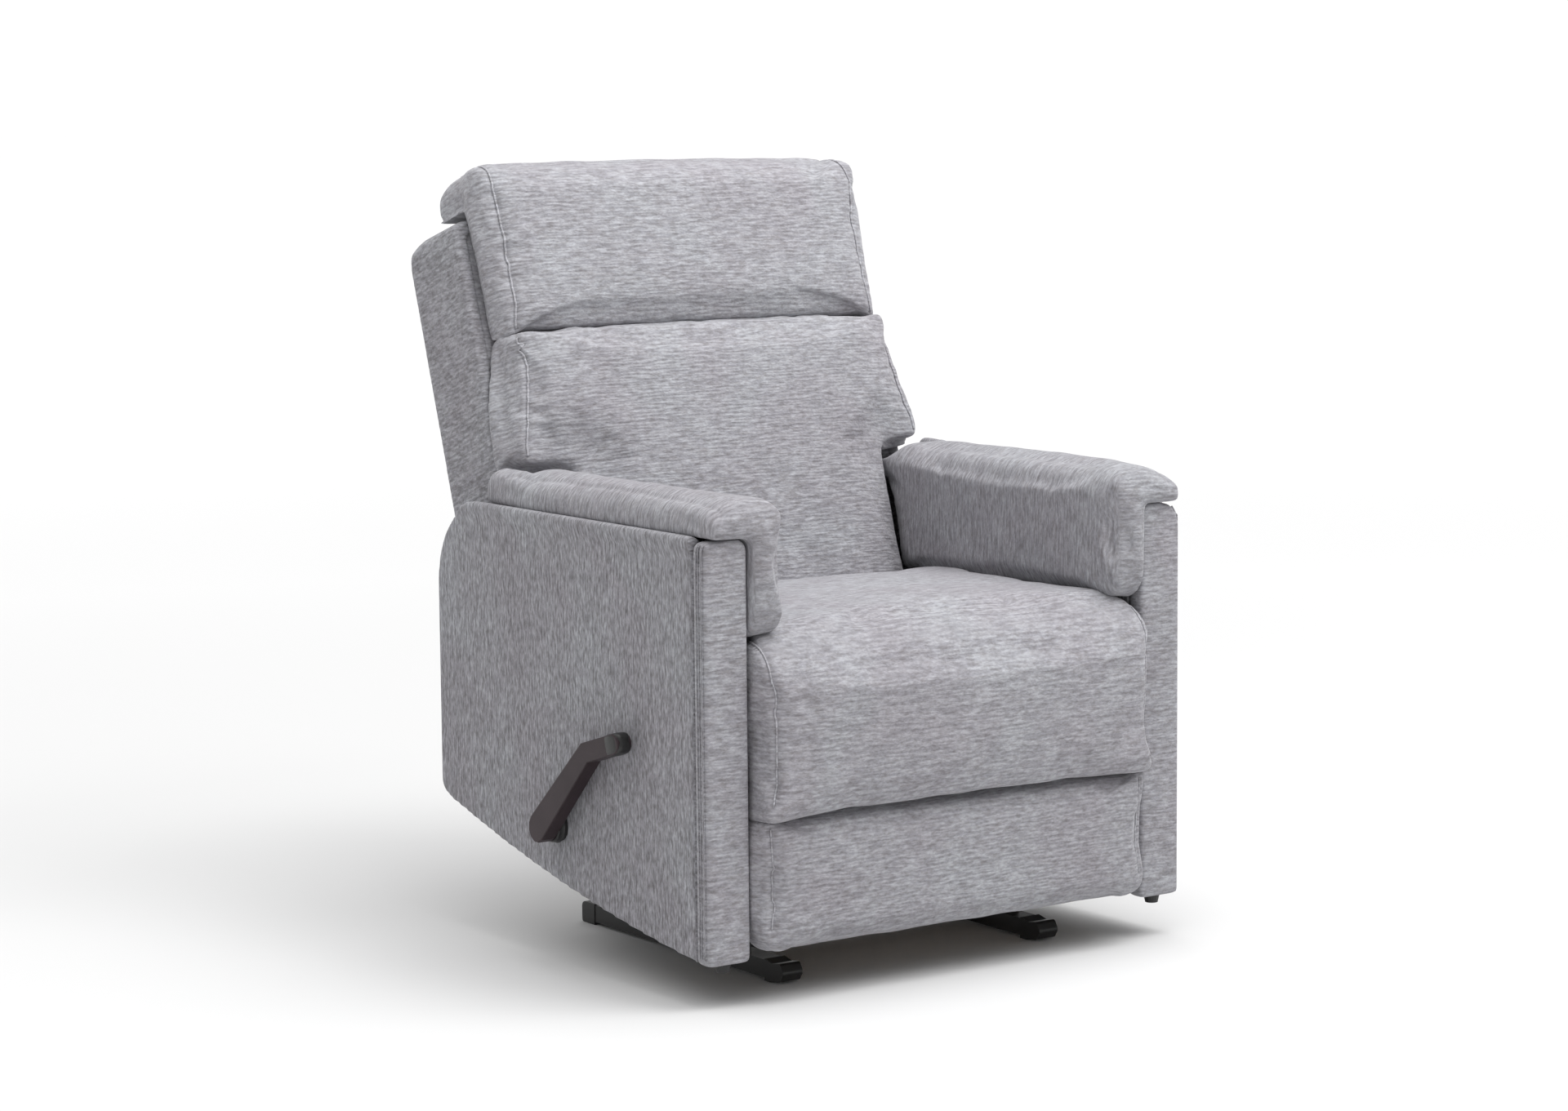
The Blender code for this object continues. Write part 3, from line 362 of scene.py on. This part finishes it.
MATERIALS = {
    "level": chenille("chenille_level_ribs", "Z"),
    # Painted shade: the upright ribs are the same grey made 0.93 times as bright, to darken upright faces
    # that get less light
    "upright": chenille("chenille_upright_ribs", "Y", shade=0.93),
    "leaning": chenille("chenille_leaning_ribs", "S"),
    # Painted shade: the side panels are the same grey made 0.82 times as bright, for sides that get less
    # light, with a stronger mottle
    "panel": chenille("chenille_side_panels", "Y", shade=0.82, contrast=1.7),
    # Painted shade: the outer back is the same grey made 0.85 times as bright, for its less lit faces, with
    # a stronger mottle
    "shell": chenille("chenille_outer_back", "S", shade=0.85, contrast=1.5),
    # Painted highlight: the piping is the same grey made 1.22 times as bright, so that the welts' ridges
    # read as lit
    "piping": chenille("chenille_piping", "S", shade=1.22),
    "lining": moulded("woven_lining", 0.030, 0.050, 0.85),
    "black_steel": powder_coat(),
    "zinc_steel": zinc("zinc_plate", 0.46),
    "spring_steel": zinc("oiled_spring_wire", 0.17),
    "black_plastic": moulded("black_moulding", 0.008, 0.016, 0.42),
    "lever_plastic": moulded("brown_moulding", 0.019, 0.027, 0.40, warm=0.35, specular=0.22),
    "plywood": timber(),
}


def finish(piece, material):
    piece.data.materials.clear()
    piece.data.materials.append(MATERIALS[material])


# ---------------------------------------------------------------- meshes


def mesh_of(name, points, faces):
    mesh = bpy.data.meshes.new(name)
    mesh.from_pydata([tuple(point) for point in points], [], faces)
    mesh.update()
    piece = bpy.data.objects.new(name, mesh)
    bpy.context.scene.collection.objects.link(piece)
    return piece


def loose_piece(name, points, faces, body, material):
    """A smooth piece that no CAD node stands for, riding on a body."""
    piece = mesh_of(name, points, faces)
    piece.data.shade_smooth()
    finish(piece, material)
    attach(piece, body)
    return piece


def ring_faces(rings, sides):
    """Faces that join rings of points into a tube with both ends closed."""
    faces = []
    for ring in range(rings - 1):
        for side in range(sides):
            a, b = ring * sides + side, ring * sides + (side + 1) % sides
            faces.append((a, b, b + sides, a + sides))
    faces.append(tuple(range(sides))[::-1])
    faces.append(tuple((rings - 1) * sides + side for side in range(sides)))
    return faces


def apply_modifiers(piece):
    """Gives the piece its evaluated mesh and drops its modifiers."""
    graph = bpy.context.evaluated_depsgraph_get()
    mesh = bpy.data.meshes.new_from_object(piece.evaluated_get(graph))
    piece.modifiers.clear()
    old = piece.data
    piece.data = mesh
    bpy.data.meshes.remove(old)


def points_of(piece):
    flat = np.empty(len(piece.data.vertices) * 3, np.float32)
    piece.data.vertices.foreach_get("co", flat)
    return flat.reshape(-1, 3).astype(np.float64)


def normals_of(piece):
    flat = np.empty(len(piece.data.vertices) * 3, np.float32)
    piece.data.vertices.foreach_get("normal", flat)
    return flat.reshape(-1, 3).astype(np.float64)


def set_points(piece, points):
    piece.data.vertices.foreach_set("co", points.astype(np.float32).ravel())
    piece.data.update()


def smoothed(piece, rounds):
    """Rounds edges: each round moves every point halfway to the middle of its neighbours."""
    count = len(piece.data.vertices)
    pairs = np.empty(len(piece.data.edges) * 2, np.int32)
    piece.data.edges.foreach_get("vertices", pairs)
    pairs = pairs.reshape(-1, 2)
    both = np.concatenate([pairs, pairs[:, ::-1]])
    degree = np.bincount(both[:, 0], minlength=count)[:, None]
    points = points_of(piece)
    for _ in range(rounds):
        total = np.stack(
            [np.bincount(both[:, 0], weights=points[both[:, 1], k], minlength=count) for k in range(3)],
            axis=1,
        )
        points += (total / degree - points) * 0.5
    set_points(piece, points)


def remeshed_copy(node, name, voxel):
    """A new object from a CAD node's mesh, remeshed evenly."""
    piece = bpy.data.objects.new(name, NODES[node].data.copy())
    bpy.context.scene.collection.objects.link(piece)
    remesh = piece.modifiers.new("Remesh", "REMESH")
    remesh.mode = "VOXEL"
    remesh.voxel_size = voxel
    remesh.use_smooth_shade = True
    apply_modifiers(piece)
    return piece


def puff(piece, cap, held):
    """Inflates the piece as cloth, by no more than cap. Held says which of its points stay in place."""
    frames, pressure = 20, 4.0
    before = points_of(piece)
    pins = piece.vertex_groups.new(name="held")
    pins.add(np.nonzero(held(before))[0].tolist(), 1.0, "REPLACE")
    cloth = piece.modifiers.new("Cloth", "CLOTH")
    settings = cloth.settings
    settings.quality = 4
    settings.use_pressure = True
    settings.uniform_pressure_force = pressure
    settings.tension_stiffness = 25
    settings.compression_stiffness = 25
    settings.shear_stiffness = 12
    settings.bending_stiffness = 3
    settings.vertex_group_mass = "held"
    settings.effector_weights.gravity = 0
    cloth.collision_settings.use_collision = False
    scene = bpy.context.scene
    for number in range(1, frames + 1):
        scene.frame_set(number)
    apply_modifiers(piece)
    scene.frame_set(1)
    after = points_of(piece)
    step = after - before
    length = np.linalg.norm(step, axis=1, keepdims=True)
    after = before + step * np.minimum(1, cap / np.maximum(length, 1e-9))
    set_points(piece, after)
    piece.vertex_groups.clear()


def subdivided(piece):
    modifier = piece.modifiers.new("Subdivision", "SUBSURF")
    modifier.levels = modifier.render_levels = 1
    apply_modifiers(piece)


def crumpled(piece, amount, size, seed):
    """Slight unevenness of stuffing under the cover: seven waves of different directions and lengths."""
    points = points_of(piece)
    wave = np.zeros(len(points))
    for turn in range(7):
        direction = np.array(
            [math.sin(2.1 * turn + seed), math.sin(1.3 * turn + 1 + seed), math.sin(3.7 * turn + 2 + seed)]
        )
        phase = points @ direction * (2 * math.pi / size) * (0.7 + 0.22 * turn) + 5 * turn + seed
        wave += np.sin(phase) / (1 + 0.5 * turn)
    set_points(piece, points + normals_of(piece) * (wave * amount / 2.2)[:, None])


def shrunk(piece, amount):
    set_points(piece, points_of(piece) - normals_of(piece) * amount)


def surface_of(piece):
    mesh = piece.data
    points = [vertex.co for vertex in mesh.vertices]
    return BVHTree.FromPolygons(points, [tuple(face.vertices) for face in mesh.polygons])


def even_path(corners, pitch=0.003):
    """Evenly spaced points on a smooth curve through the corners."""
    corners = [Vector(corner) for corner in corners]
    dense, steps = [], 24
    for index, (b, c) in enumerate(zip(corners, corners[1:])):
        a = corners[index - 1] if index else b
        d = corners[index + 2] if index + 2 < len(corners) else c
        for step in range(steps):
            t = step / steps
            slope, bend, twist = c - a, a * 2 - b * 5 + c * 4 - d, b * 3 - a - c * 3 + d
            dense.append((b * 2 + slope * t + bend * t * t + twist * t * t * t) / 2)
    dense.append(corners[-1])
    even, carried = [dense[0]], 0.0
    for before, after in zip(dense, dense[1:]):
        span = (after - before).length
        while span > 0 and carried + span >= pitch:
            share = (pitch - carried) / span
            before = before.lerp(after, share)
            span = (after - before).length
            even.append(before)
            carried = 0.0
        carried += span
    return even


def laid_on(piece, path):
    """The path's points moved onto the piece's surface, each with the normal there."""
    surface = surface_of(piece)
    return [surface.find_nearest(point)[:2] for point in path]


def groove(piece, laid, depth, width):
    """Presses a seam into the piece along the laid line."""
    reach = width * 3
    tree = KDTree(len(laid))
    for index, (spot, _) in enumerate(laid):
        tree.insert(spot, index)
    tree.balance()
    points = points_of(piece)
    lows = np.min([spot for spot, _ in laid], axis=0) - reach
    highs = np.max([spot for spot, _ in laid], axis=0) + reach
    near = np.nonzero(np.all((points > lows) & (points < highs), axis=1))[0]
    for index in near:
        _, which, distance = tree.find(points[index])
        if distance < reach:
            normal = np.array(laid[which][1])
            points[index] -= normal * depth * math.exp(-((distance / width) ** 2))
    set_points(piece, points)


def tube(name, points, radius, body, material):
    """A round cord along points, which rides on a body."""
    sides = 6
    rings = []
    aside = (points[1] - points[0]).normalized().orthogonal().normalized()
    for index, point in enumerate(points):
        ahead = points[min(index + 1, len(points) - 1)]
        behind = points[max(index - 1, 0)]
        along = (ahead - behind).normalized()
        aside = (aside - along * aside.dot(along)).normalized()
        other = along.cross(aside)
        for side in range(sides):
            angle = 2 * math.pi * side / sides
            rings.append(point + (aside * math.cos(angle) + other * math.sin(angle)) * radius)
    return loose_piece(name, rings, ring_faces(len(points), sides), body, material)


def seam(piece, name, corners, body, depth, width, welt=0.0):
    """A sewn seam through the corners: a groove in the piece and, with a welt's radius, a cord in it."""
    laid = laid_on(piece, even_path(corners))
    groove(piece, laid, depth, width)
    if welt:
        laid = laid_on(piece, [spot for spot, _ in laid])
        line = [spot + normal * welt * 0.7 for spot, normal in laid]
        # The welt cord wears the piping cloth, lightened as painted highlight
        tube(f"{name}_welt", line, welt, body, "piping")


# ---------------------------------------------------------------- soft pieces


def soft(node, name, body, material, voxel, rounds, shape, fine=True, held=None, cap=0.0, after=None):
    """Replaces a CAD node with a soft one. A piece with held points is stuffed, the others are firm."""
    piece = remeshed_copy(node, name, voxel)
    smoothed(piece, rounds)
    if held:
        shrunk(piece, amount=0.001)
    set_points(piece, shape(points_of(piece)))
    if held:
        puff(piece, cap, held)
    if after:
        set_points(piece, after(points_of(piece)))
    if fine:
        subdivided(piece)
    if held:
        crumpled(piece, amount=0.0012, size=0.11, seed=len(name))
    piece.data.shade_smooth()
    finish(piece, material)
    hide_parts(node)
    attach(piece, body)
    return piece


def in_chair(points):
    """x, y and z of each point in the chair's own frame."""
    return (points - np.array(ORIGIN)).T


def from_chair(x, y, z):
    """Points in the row frame."""
    return np.stack([x, y, z], axis=1) + np.array(ORIGIN)


def along_back(points):
    """x from the centre plane, s up along the back and d behind it, for each point."""
    axis = JOINTS["recline"]
    y, z = points[:, 1] - axis.y, points[:, 2] - axis.z
    s = y * math.sin(BACK_TILT) + z * math.cos(BACK_TILT)
    d = y * math.cos(BACK_TILT) - z * math.sin(BACK_TILT)
    return points[:, 0] - axis.x, s, d


def leaning_edges(node):
    """The least and the greatest x, s and d of a CAD node, to 0.01 mm."""
    runs = along_back(points_of(NODES[node]))
    return [[round(float(end(run)), 5) for run in runs] for end in (np.min, np.max)]


def from_back(x, s, d):
    """Points in the row frame."""
    axis = JOINTS["recline"]
    y = axis.y + s * math.sin(BACK_TILT) + d * math.cos(BACK_TILT)
    z = axis.z + s * math.cos(BACK_TILT) - d * math.sin(BACK_TILT)
    return np.stack([x + axis.x, y, z], axis=1)


def above(value, start, span):
    """0 up to start, then rising to 1 over the span."""
    return np.clip((value - start) / span, 0, 1)


def below(value, start, span):
    """0 down to start, then rising to 1 over the span."""
    return np.clip((start - value) / span, 0, 1)


def dome(share):
    """1 in the middle, falling to 0 where the share is 1 or -1."""
    return np.clip(1 - share**2, 0, 1)


def round_corner(a, b, a_edge, b_edge, radius, weight=1.0):
    """Moves points of a square corner on to a round one. Both coordinates grow towards the corner."""
    u = np.clip((a - (a_edge - radius)) / radius, 0, 1)
    v = np.clip((b - (b_edge - radius)) / radius, 0, 1)
    both = (u > 0) & (v > 0)
    a = a - np.where(both, u * (1 - np.sqrt(1 - v * v / 2)) * radius * weight, 0)
    b = b - np.where(both, v * (1 - np.sqrt(1 - u * u / 2)) * radius * weight, 0)
    return a, b


def squared_corner(a, b, a_edge, b_edge, radius):
    """Fills out a round corner. Both coordinates grow towards it."""
    power = 5.0
    u = np.clip((a - (a_edge - radius)) / radius, 0, 2)
    v = np.clip((b - (b_edge - radius)) / radius, 0, 2)
    both = (u > 0) & (v > 0)
    square = np.maximum((u**power + v**power) ** (1 / power), 1e-6)
    grow = np.where(both, np.hypot(u, v) / square, 1.0) - 1
    return a + u * grow * radius, b + v * grow * radius


def seat():
    def held(points):
        _, y, z = in_chair(points)
        return (z < 0.36) & (y > 0.04)

    def crown(points):
        """A domed top and front with rounded edges."""
        x, y, z = in_chair(points)
        across = dome(x / SEAT_HALF_WIDTH)
        top = above(z, 0.40, 0.07)
        front = below(y, 0.02, 0.05)
        z = z + 0.012 * across * top * dome((y - 0.17) / 0.30)
        y = y - 0.006 * across * front * dome((z - 0.35) / 0.13)
        width, z = round_corner(np.abs(x), z, SEAT_HALF_WIDTH, SEAT_TOP, 0.018, below(y, 0.20, 0.16))
        forward, z = round_corner(-y, z, -SEAT_FRONT, SEAT_TOP + 0.004, 0.055, 0.6)
        return from_chair(np.sign(x) * width, -forward, z)

    def closed_up(points):
        """Fills the gaps to the footrest and the arms."""
        x, y, z = in_chair(points)
        low = below(z, 0.290, 0.035) * below(y, 0.045, 0.01)
        side = above(np.abs(x), 0.29, 0.02)
        return from_chair(x + np.sign(x) * side * (0.005 + 0.002 * low), y, z - 0.0095 * low)

    piece = soft(
        "seat_cushion", "seat_cushion_cover", "carriage", "level",
        voxel=0.006, rounds=9, shape=crown, held=held, cap=0.010, after=closed_up,
    )
    line = [
        (0.36, 0.47),
        (0.20, 0.478),
        (0.06, 0.476),
        (-0.010, 0.455),
        (-0.034, 0.40),
        (-0.036, 0.33),
        (-0.032, 0.262),
    ]
    for side_name, side in SIDES.items():
        corners = [chair(side * 0.308, y, z) for y, z in line]
        seam(piece, f"seat_{side_name}", corners, "carriage", 0.003, 0.005, welt=0.0012)


def squared_rear(x, d, reach):
    """Pulls the sides of a back cushion out to the shell's strips near its rear face."""
    near = above(d, -0.066, 0.022) * above(np.abs(x) - reach, -0.028, 0.012)
    return x + np.sign(x) * near * (reach - np.abs(x))


def back_cushion_rear(points):
    _, _, d = along_back(points)
    return d > -0.042


def crease_share(x, d):
    """How far a point belongs to the cushions' fronts and gussets, where they close the crease."""
    front = below(d, -0.055, 0.025)
    gusset = above(np.abs(x), 0.280, 0.020) * below(d, -0.040, 0.015)
    return np.maximum(front, gusset)


def lumbar_cushion():
    def shape(points):
        x, s, d = along_back(points)
        front = below(d, -0.05, 0.05)
        across = dome(x / 0.30)
        up = dome((s - 0.30) / 0.25)
        edge = above(np.abs(x), 0.16, 0.15) ** 2
        d = d + front * (0.014 * edge - 0.006 * across * up)
        reach = np.where(s > 0.35, 0.3475, 0.2685) - above(s, 0.45, 0.10) * 0.029
        return from_back(squared_rear(x, d, reach), s, d)

    def meets_headrest(points):
        x, s, d = along_back(points)
        return from_back(x, s + 0.008 * crease_share(x, d) * above(s, 0.515, 0.025), d)

    return soft(
        "lumbar_cushion", "lumbar_cushion_cover", "back", "leaning",
        voxel=0.006, rounds=9, shape=shape, held=back_cushion_rear, cap=0.009, after=meets_headrest,
    )


def headrest_cushion():
    _, (half_width, cad_top, cad_rear) = leaning_edges("headrest_cushion")
    cap_top, cap_rear, overhang = cad_top + 0.006, cad_rear + 0.001, 0.741

    def shape(points):
        """A bulging front, and a rounded cap that hangs over the top of the shell."""
        x, s, d = along_back(points)
        across = dome(x / 0.31)
        top = above(s, 0.74, 0.06)
        front = below(d, -0.03, 0.05)
        s = s + 0.006 * across * top
        bulge = dome((s - 0.66) / 0.13)
        d = d - 0.010 * front * bulge * (0.4 + 0.6 * across)
        x = np.where(s < 0.745, squared_rear(x, d, 0.3185), x)
        width, s = round_corner(np.abs(x), s, half_width, cap_top, 0.036)
        d, s = round_corner(d, s, cap_rear, cap_top, 0.036)
        d, low = round_corner(d, -s, cap_rear, -overhang, 0.018)
        return from_back(np.sign(x) * width, -low, d)

    def meets_lumbar(points):
        x, s, d = along_back(points)
        s = s - 0.006 * crease_share(x, d) * below(s, 0.585, 0.025)
        s = s + 0.008 * above(s, 0.68, 0.10)
        x = x * (1 + 0.026 * above(s, 0.56, 0.20) * below(d, -0.02, 0.03))
        return from_back(x, s, d)

    return soft(
        "headrest_cushion", "headrest_cushion_cover", "back", "leaning",
        voxel=0.006, rounds=9, shape=shape, held=back_cushion_rear, cap=0.009, after=meets_lumbar,
    )


def back_cushions():
    lumbar = lumbar_cushion()
    headrest = headrest_cushion()
    headrest_line = [
        (0.303, 0.560, -0.080),
        (0.303, 0.600, -0.092),
        (0.303, 0.680, -0.094),
        (0.303, 0.750, -0.088),
        (0.301485, 0.785, -0.072),
        (0.29997, 0.800, -0.045),
        (0.29997, 0.803, 0.000),
    ]
    lumbar_line = [
        (0.300, 0.545, -0.085),
        (0.305, 0.500, -0.095),
        (0.318, 0.440, -0.100),
        (0.330, 0.390, -0.105),
        (0.334, 0.372, -0.105),
    ]
    for side_name, side in SIDES.items():
        corners = [lean(side * x, s, d) for x, s, d in headrest_line]
        seam(headrest, f"headrest_{side_name}", corners, "back", 0.003, 0.005, welt=0.0016)
        corners = [lean(side * x, s, d) for x, s, d in lumbar_line]
        seam(lumbar, f"lumbar_{side_name}", corners, "back", 0.003, 0.005, welt=0.0016)


def footrest_cover():
    def held(points):
        _, y, _ = in_chair(points)
        return y > 0.022

    def corners_in(points):
        x, y, z = in_chair(points)
        width, low = round_corner(np.abs(x), -z, FOOTREST_HALF_WIDTH, -FOOTREST_LOW, 0.040)
        width, high = round_corner(width, -low, FOOTREST_HALF_WIDTH, FOOTREST_TOP, 0.016)
        return from_chair(np.sign(x) * width, y, high)

    def stretch(points):
        x, y, z = in_chair(points)
        z = z + (0.006 * above(z, 0.20, 0.03) - 0.003 * below(z, 0.10, 0.03))
        return from_chair(x * 1.010, y, z)

    piece = soft(
        "footrest_pad", "footrest_pad_cover", "footrest", "level",
        voxel=0.006, rounds=7, shape=corners_in, held=held, cap=0.007, after=stretch,
    )
    for side_name, side in SIDES.items():
        corners = [chair(side * 0.306, y, z) for y, z in ((-0.02, 0.232), (-0.026, 0.16), (-0.022, 0.100))]
        seam(piece, f"footrest_{side_name}", corners, "footrest", 0.0035, 0.005, welt=0.0010)


def arm_pads():
    def held(points):
        x, _, z = in_chair(points)
        return (z < 0.612) & (np.abs(x) > 0.315)

    def shape(points):
        x, y, z = in_chair(points)
        out = above(np.abs(x), 0.322, 0.066)
        top = above(z, 0.606, 0.045)
        # blunt rear end, outside the back
        beyond = above(np.abs(x), 0.349, 0.008) * above(z, PANEL_TOP, 0.004)
        thick = np.interp(y, (0.455, 0.503, 0.563), (0.053, 0.040, 0.017))
        z = z + beyond * (z - PANEL_TOP) * (0.050 / thick - 1) * above(y, 0.40, 0.06)
        # top falling outward, with round rear and inner edges
        z = z - 0.021 * out**1.6 * top
        y, z = round_corner(y, z, 0.562, 0.648, 0.022)
        x = x - np.sign(x) * 0.006 * out
        inside = below(np.abs(x), 0.300, 0.02)
        rounded_top = PAD_TOP + 0.003
        inward, z = round_corner(OUTSIDE - np.abs(x), z, OUTSIDE - PAD_INNER, rounded_top, 0.030, inside)
        # lower end of the inner side, drawn down to the seat
        z = z - 0.009 * below(z, 0.500, 0.020)
        forward, low = round_corner(-y, -z, -PAD_FRONT, -0.468, 0.030)
        return from_chair(np.sign(x) * (OUTSIDE - inward), -forward, -low)

    line = [(-0.014, 0.622), (0.000, 0.645), (0.10, 0.652), (0.30, 0.654), (0.46, 0.650), (0.53, 0.632)]
    for side_name, side in SIDES.items():
        piece = soft(
            f"arm_pad_{side_name}", f"arm_pad_cover_{side_name}", "carriage", "upright",
            voxel=0.005, rounds=6, shape=shape, held=held, cap=0.007,
        )
        corners = [chair(side * 0.366, y, z) for y, z in line]
        seam(piece, f"arm_pad_{side_name}", corners, "carriage", 0.0016, 0.004)


def arm_panels():
    crease = [(0.022, 0.572), (0.12, 0.577), (0.26, 0.586)]
    for side_name, side in SIDES.items():
        def shape(points):
            x, y, z = in_chair(points)
            inward, z = round_corner(OUTSIDE - np.abs(x), z, OUTSIDE - PANEL_INNER, PANEL_TOP, 0.016)
            width = OUTSIDE - inward
            if side_name == SQUARED_ARM:
                width, z = squared_corner(width, z, PANEL_OUTER, PANEL_TOP, 0.030)
            return from_chair(np.sign(x) * width, y, z)

        side_panel = soft(
            f"arm_side_panel_{side_name}", f"side_panel_cover_{side_name}", "carriage", "panel",
            voxel=0.005, rounds=4, shape=shape, fine=False,
        )
        corners = [chair(side * 0.392, y, z) for y, z in crease]
        groove(side_panel, laid_on(side_panel, even_path(corners)), 0.0012, 0.004)
        soft(
            f"arm_front_{side_name}", f"arm_front_cover_{side_name}", "carriage", "level",
            voxel=0.004, rounds=5, shape=shape,
        )


def back_shell():
    _, (half_width, top, rear) = leaning_edges("back_shell")

    def shape(points):
        x, s, d = along_back(points)
        inner = below(np.abs(x), 0.337, 0.010) * below(d, -0.020, 0.006)
        x = x - np.sign(x) * inner * 0.006
        s = s - 0.004 * below(d, 0.085, 0.11) * above(s, 0.60, 0.12)
        d, s = round_corner(d, s, rear, top, 0.045)
        width, s = round_corner(np.abs(x), s, half_width, top, 0.022)
        return from_back(np.sign(x) * width, s, d)

    soft(
        "back_shell", "back_shell_cover", "back", "shell",
        voxel=0.004, rounds=7, shape=shape, fine=False,
    )


# ---------------------------------------------------------------- loose pieces


def back_liner():
    """Upholstery cloth stretched over the front of the back's frame, behind the cushions."""
    half, half_between_arms = 0.333, 0.268
    low, high, front = 0.040, 0.728, -0.0300
    columns, rows = 40, 44
    points, faces = [], []
    for row in range(rows + 1):
        s = low + (high - low) * row / rows
        width = half if s > SHOULDER else half_between_arms
        for column in range(columns + 1):
            points.append(lean(width * (2 * column / columns - 1), s, front))
    for row in range(rows):
        for column in range(columns):
            a = row * (columns + 1) + column
            faces.append((a, a + 1, a + columns + 2, a + columns + 1))
    piece = loose_piece("back_liner", points, faces, "back", "leaning")


def side_seams():
    """Raised felled seams down the front edge of each side panel."""
    proud = PANEL_OUTER + 0.0002
    foot = [(proud, 0.068), (proud, 0.30)]
    for side_name, side in SIDES.items():
        top = [(proud, 0.560), (0.3880, 0.584), (0.3800, 0.598)]
        if side_name == SQUARED_ARM:
            top = [(proud, 0.574), (0.3900, 0.590), (0.3885, 0.5975), (0.3845, 0.6015)]
        for number, (y, radius) in enumerate(((0.0065, 0.0016), (0.0135, 0.0011), (0.0185, 0.0011))):
            line = even_path([chair(side * out, y, z) for out, z in foot + top], pitch=0.006)
            tube(f"side_seam_{side_name}_{number}", line, radius, "carriage", "panel")


def turned_profile(name, profile, centre, axis, body, material, sides):
    """A round piece whose profile, (distance along the axis, radius), is turned about the axis."""
    axis = Vector(axis)
    aside = axis.orthogonal().normalized()
    other = axis.cross(aside)
    points = []
    for along, radius in profile:
        for side in range(sides):
            angle = 2 * math.pi * side / sides
            out = aside * math.cos(angle) + other * math.sin(angle)
            points.append(centre + axis * along + out * radius)
    piece = loose_piece(name, points, ring_faces(len(profile), sides), body, material)
    piece.data.set_sharp_from_angle(angle=math.radians(40))


def lever_boss():
    """The black boss between the lever's foot and its bezel."""
    hub = JOINTS["lever_pull"]
    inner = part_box("lever_handle")[1][0]
    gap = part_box("lever_bezel")[0][0] - inner
    centre = Vector((inner, hub.y, hub.z))
    boss = [(0, 0.0205), (0.002, 0.0222), (0.006, 0.0222), (gap - 0.0015, 0.0238), (gap - 0.0005, 0.0232)]
    turned_profile("lever_boss", boss, centre, (1, 0, 0), "lever", "black_plastic", sides=40)


def grip_cap():
    """The black cap on the end of the lever's grip: squarish rings from its mouth to its tip."""
    hub = JOINTS["lever_pull"]
    low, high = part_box("lever_handle")
    tip = Vector(((low[0] + high[0]) / 2, hub.y - 0.196, hub.z + 0.140))
    along = Vector((0, -0.071, 0.021)).normalized()
    across = Vector((1, 0, 0))
    up = across.cross(along)
    cap_wall, roundness, sides = 0.0009, 0.45, 32
    half_width = (high[0] - low[0]) / 2 + cap_wall
    half_height = 0.0135 + cap_wall
    stations = [
        (-0.016, 1.0),
        (-0.015, 1.03),
        (-0.004, 1.03),
        (0.004, 0.99),
        (0.009, 0.90),
        (0.0125, 0.72),
        (0.0145, 0.42),
    ]
    rings = []
    for offset, scale in stations:
        for side in range(sides):
            angle = 2 * math.pi * side / sides
            c, v = math.cos(angle), math.sin(angle)
            a = math.copysign(abs(c) ** roundness, c) * half_width * scale
            b = math.copysign(abs(v) ** roundness, v) * half_height * scale
            rings.append(tip + along * offset + across * a + up * b)
    faces = ring_faces(len(stations), sides)
    loose_piece("lever_grip_cap", rings, faces, "lever", "black_plastic")


def rivets():
    """Domed rivet heads on the inner faces of the footrest's linkage."""
    head = [(0, 0.0078), (0.0008, 0.0078), (0.0020, 0.0064), (0.0030, 0.0036), (0.0033, 0.0012)]
    for side_name, side in SIDES.items():
        for joint, node, body in (
            ("footrest_cross", "cross_link", "cross_links"),
            ("footrest_front", "front_link", "front_links"),
            ("footrest_turn", "footrest_bracket", "footrest"),
        ):
            low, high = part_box(f"{node}_{side_name}")
            face = low[0] if side > 0 else high[0]
            spot = Vector((face, JOINTS[joint].y, JOINTS[joint].z))
            name = f"rivet_{joint}_{side_name}"
            turned_profile(name, head, spot, (-side, 0, 0), body, "zinc_steel", sides=20)


def hard_nodes():
    """Each carried-over node gets the material of its slot, or the cloth that covers it."""
    covered = {"arm_board_left": "upright", "arm_board_right": "upright", "back_frame": "lining"}
    slots = ("black_steel", "zinc_steel", "spring_steel", "black_plastic", "lever_plastic", "plywood")
    for name, node in NODES.items():
        for slot in slots:
            if any(slot in (used.name if used else "") for used in node.data.materials):
                for material_slot in node.material_slots:
                    material_slot.material = MATERIALS[covered.get(name, slot)]


add_camera()
add_stage()
hard_nodes()
seat()
back_cushions()
footrest_cover()
arm_pads()
arm_panels()
back_shell()
back_liner()
side_seams()
lever_boss()
grip_cap()
rivets()
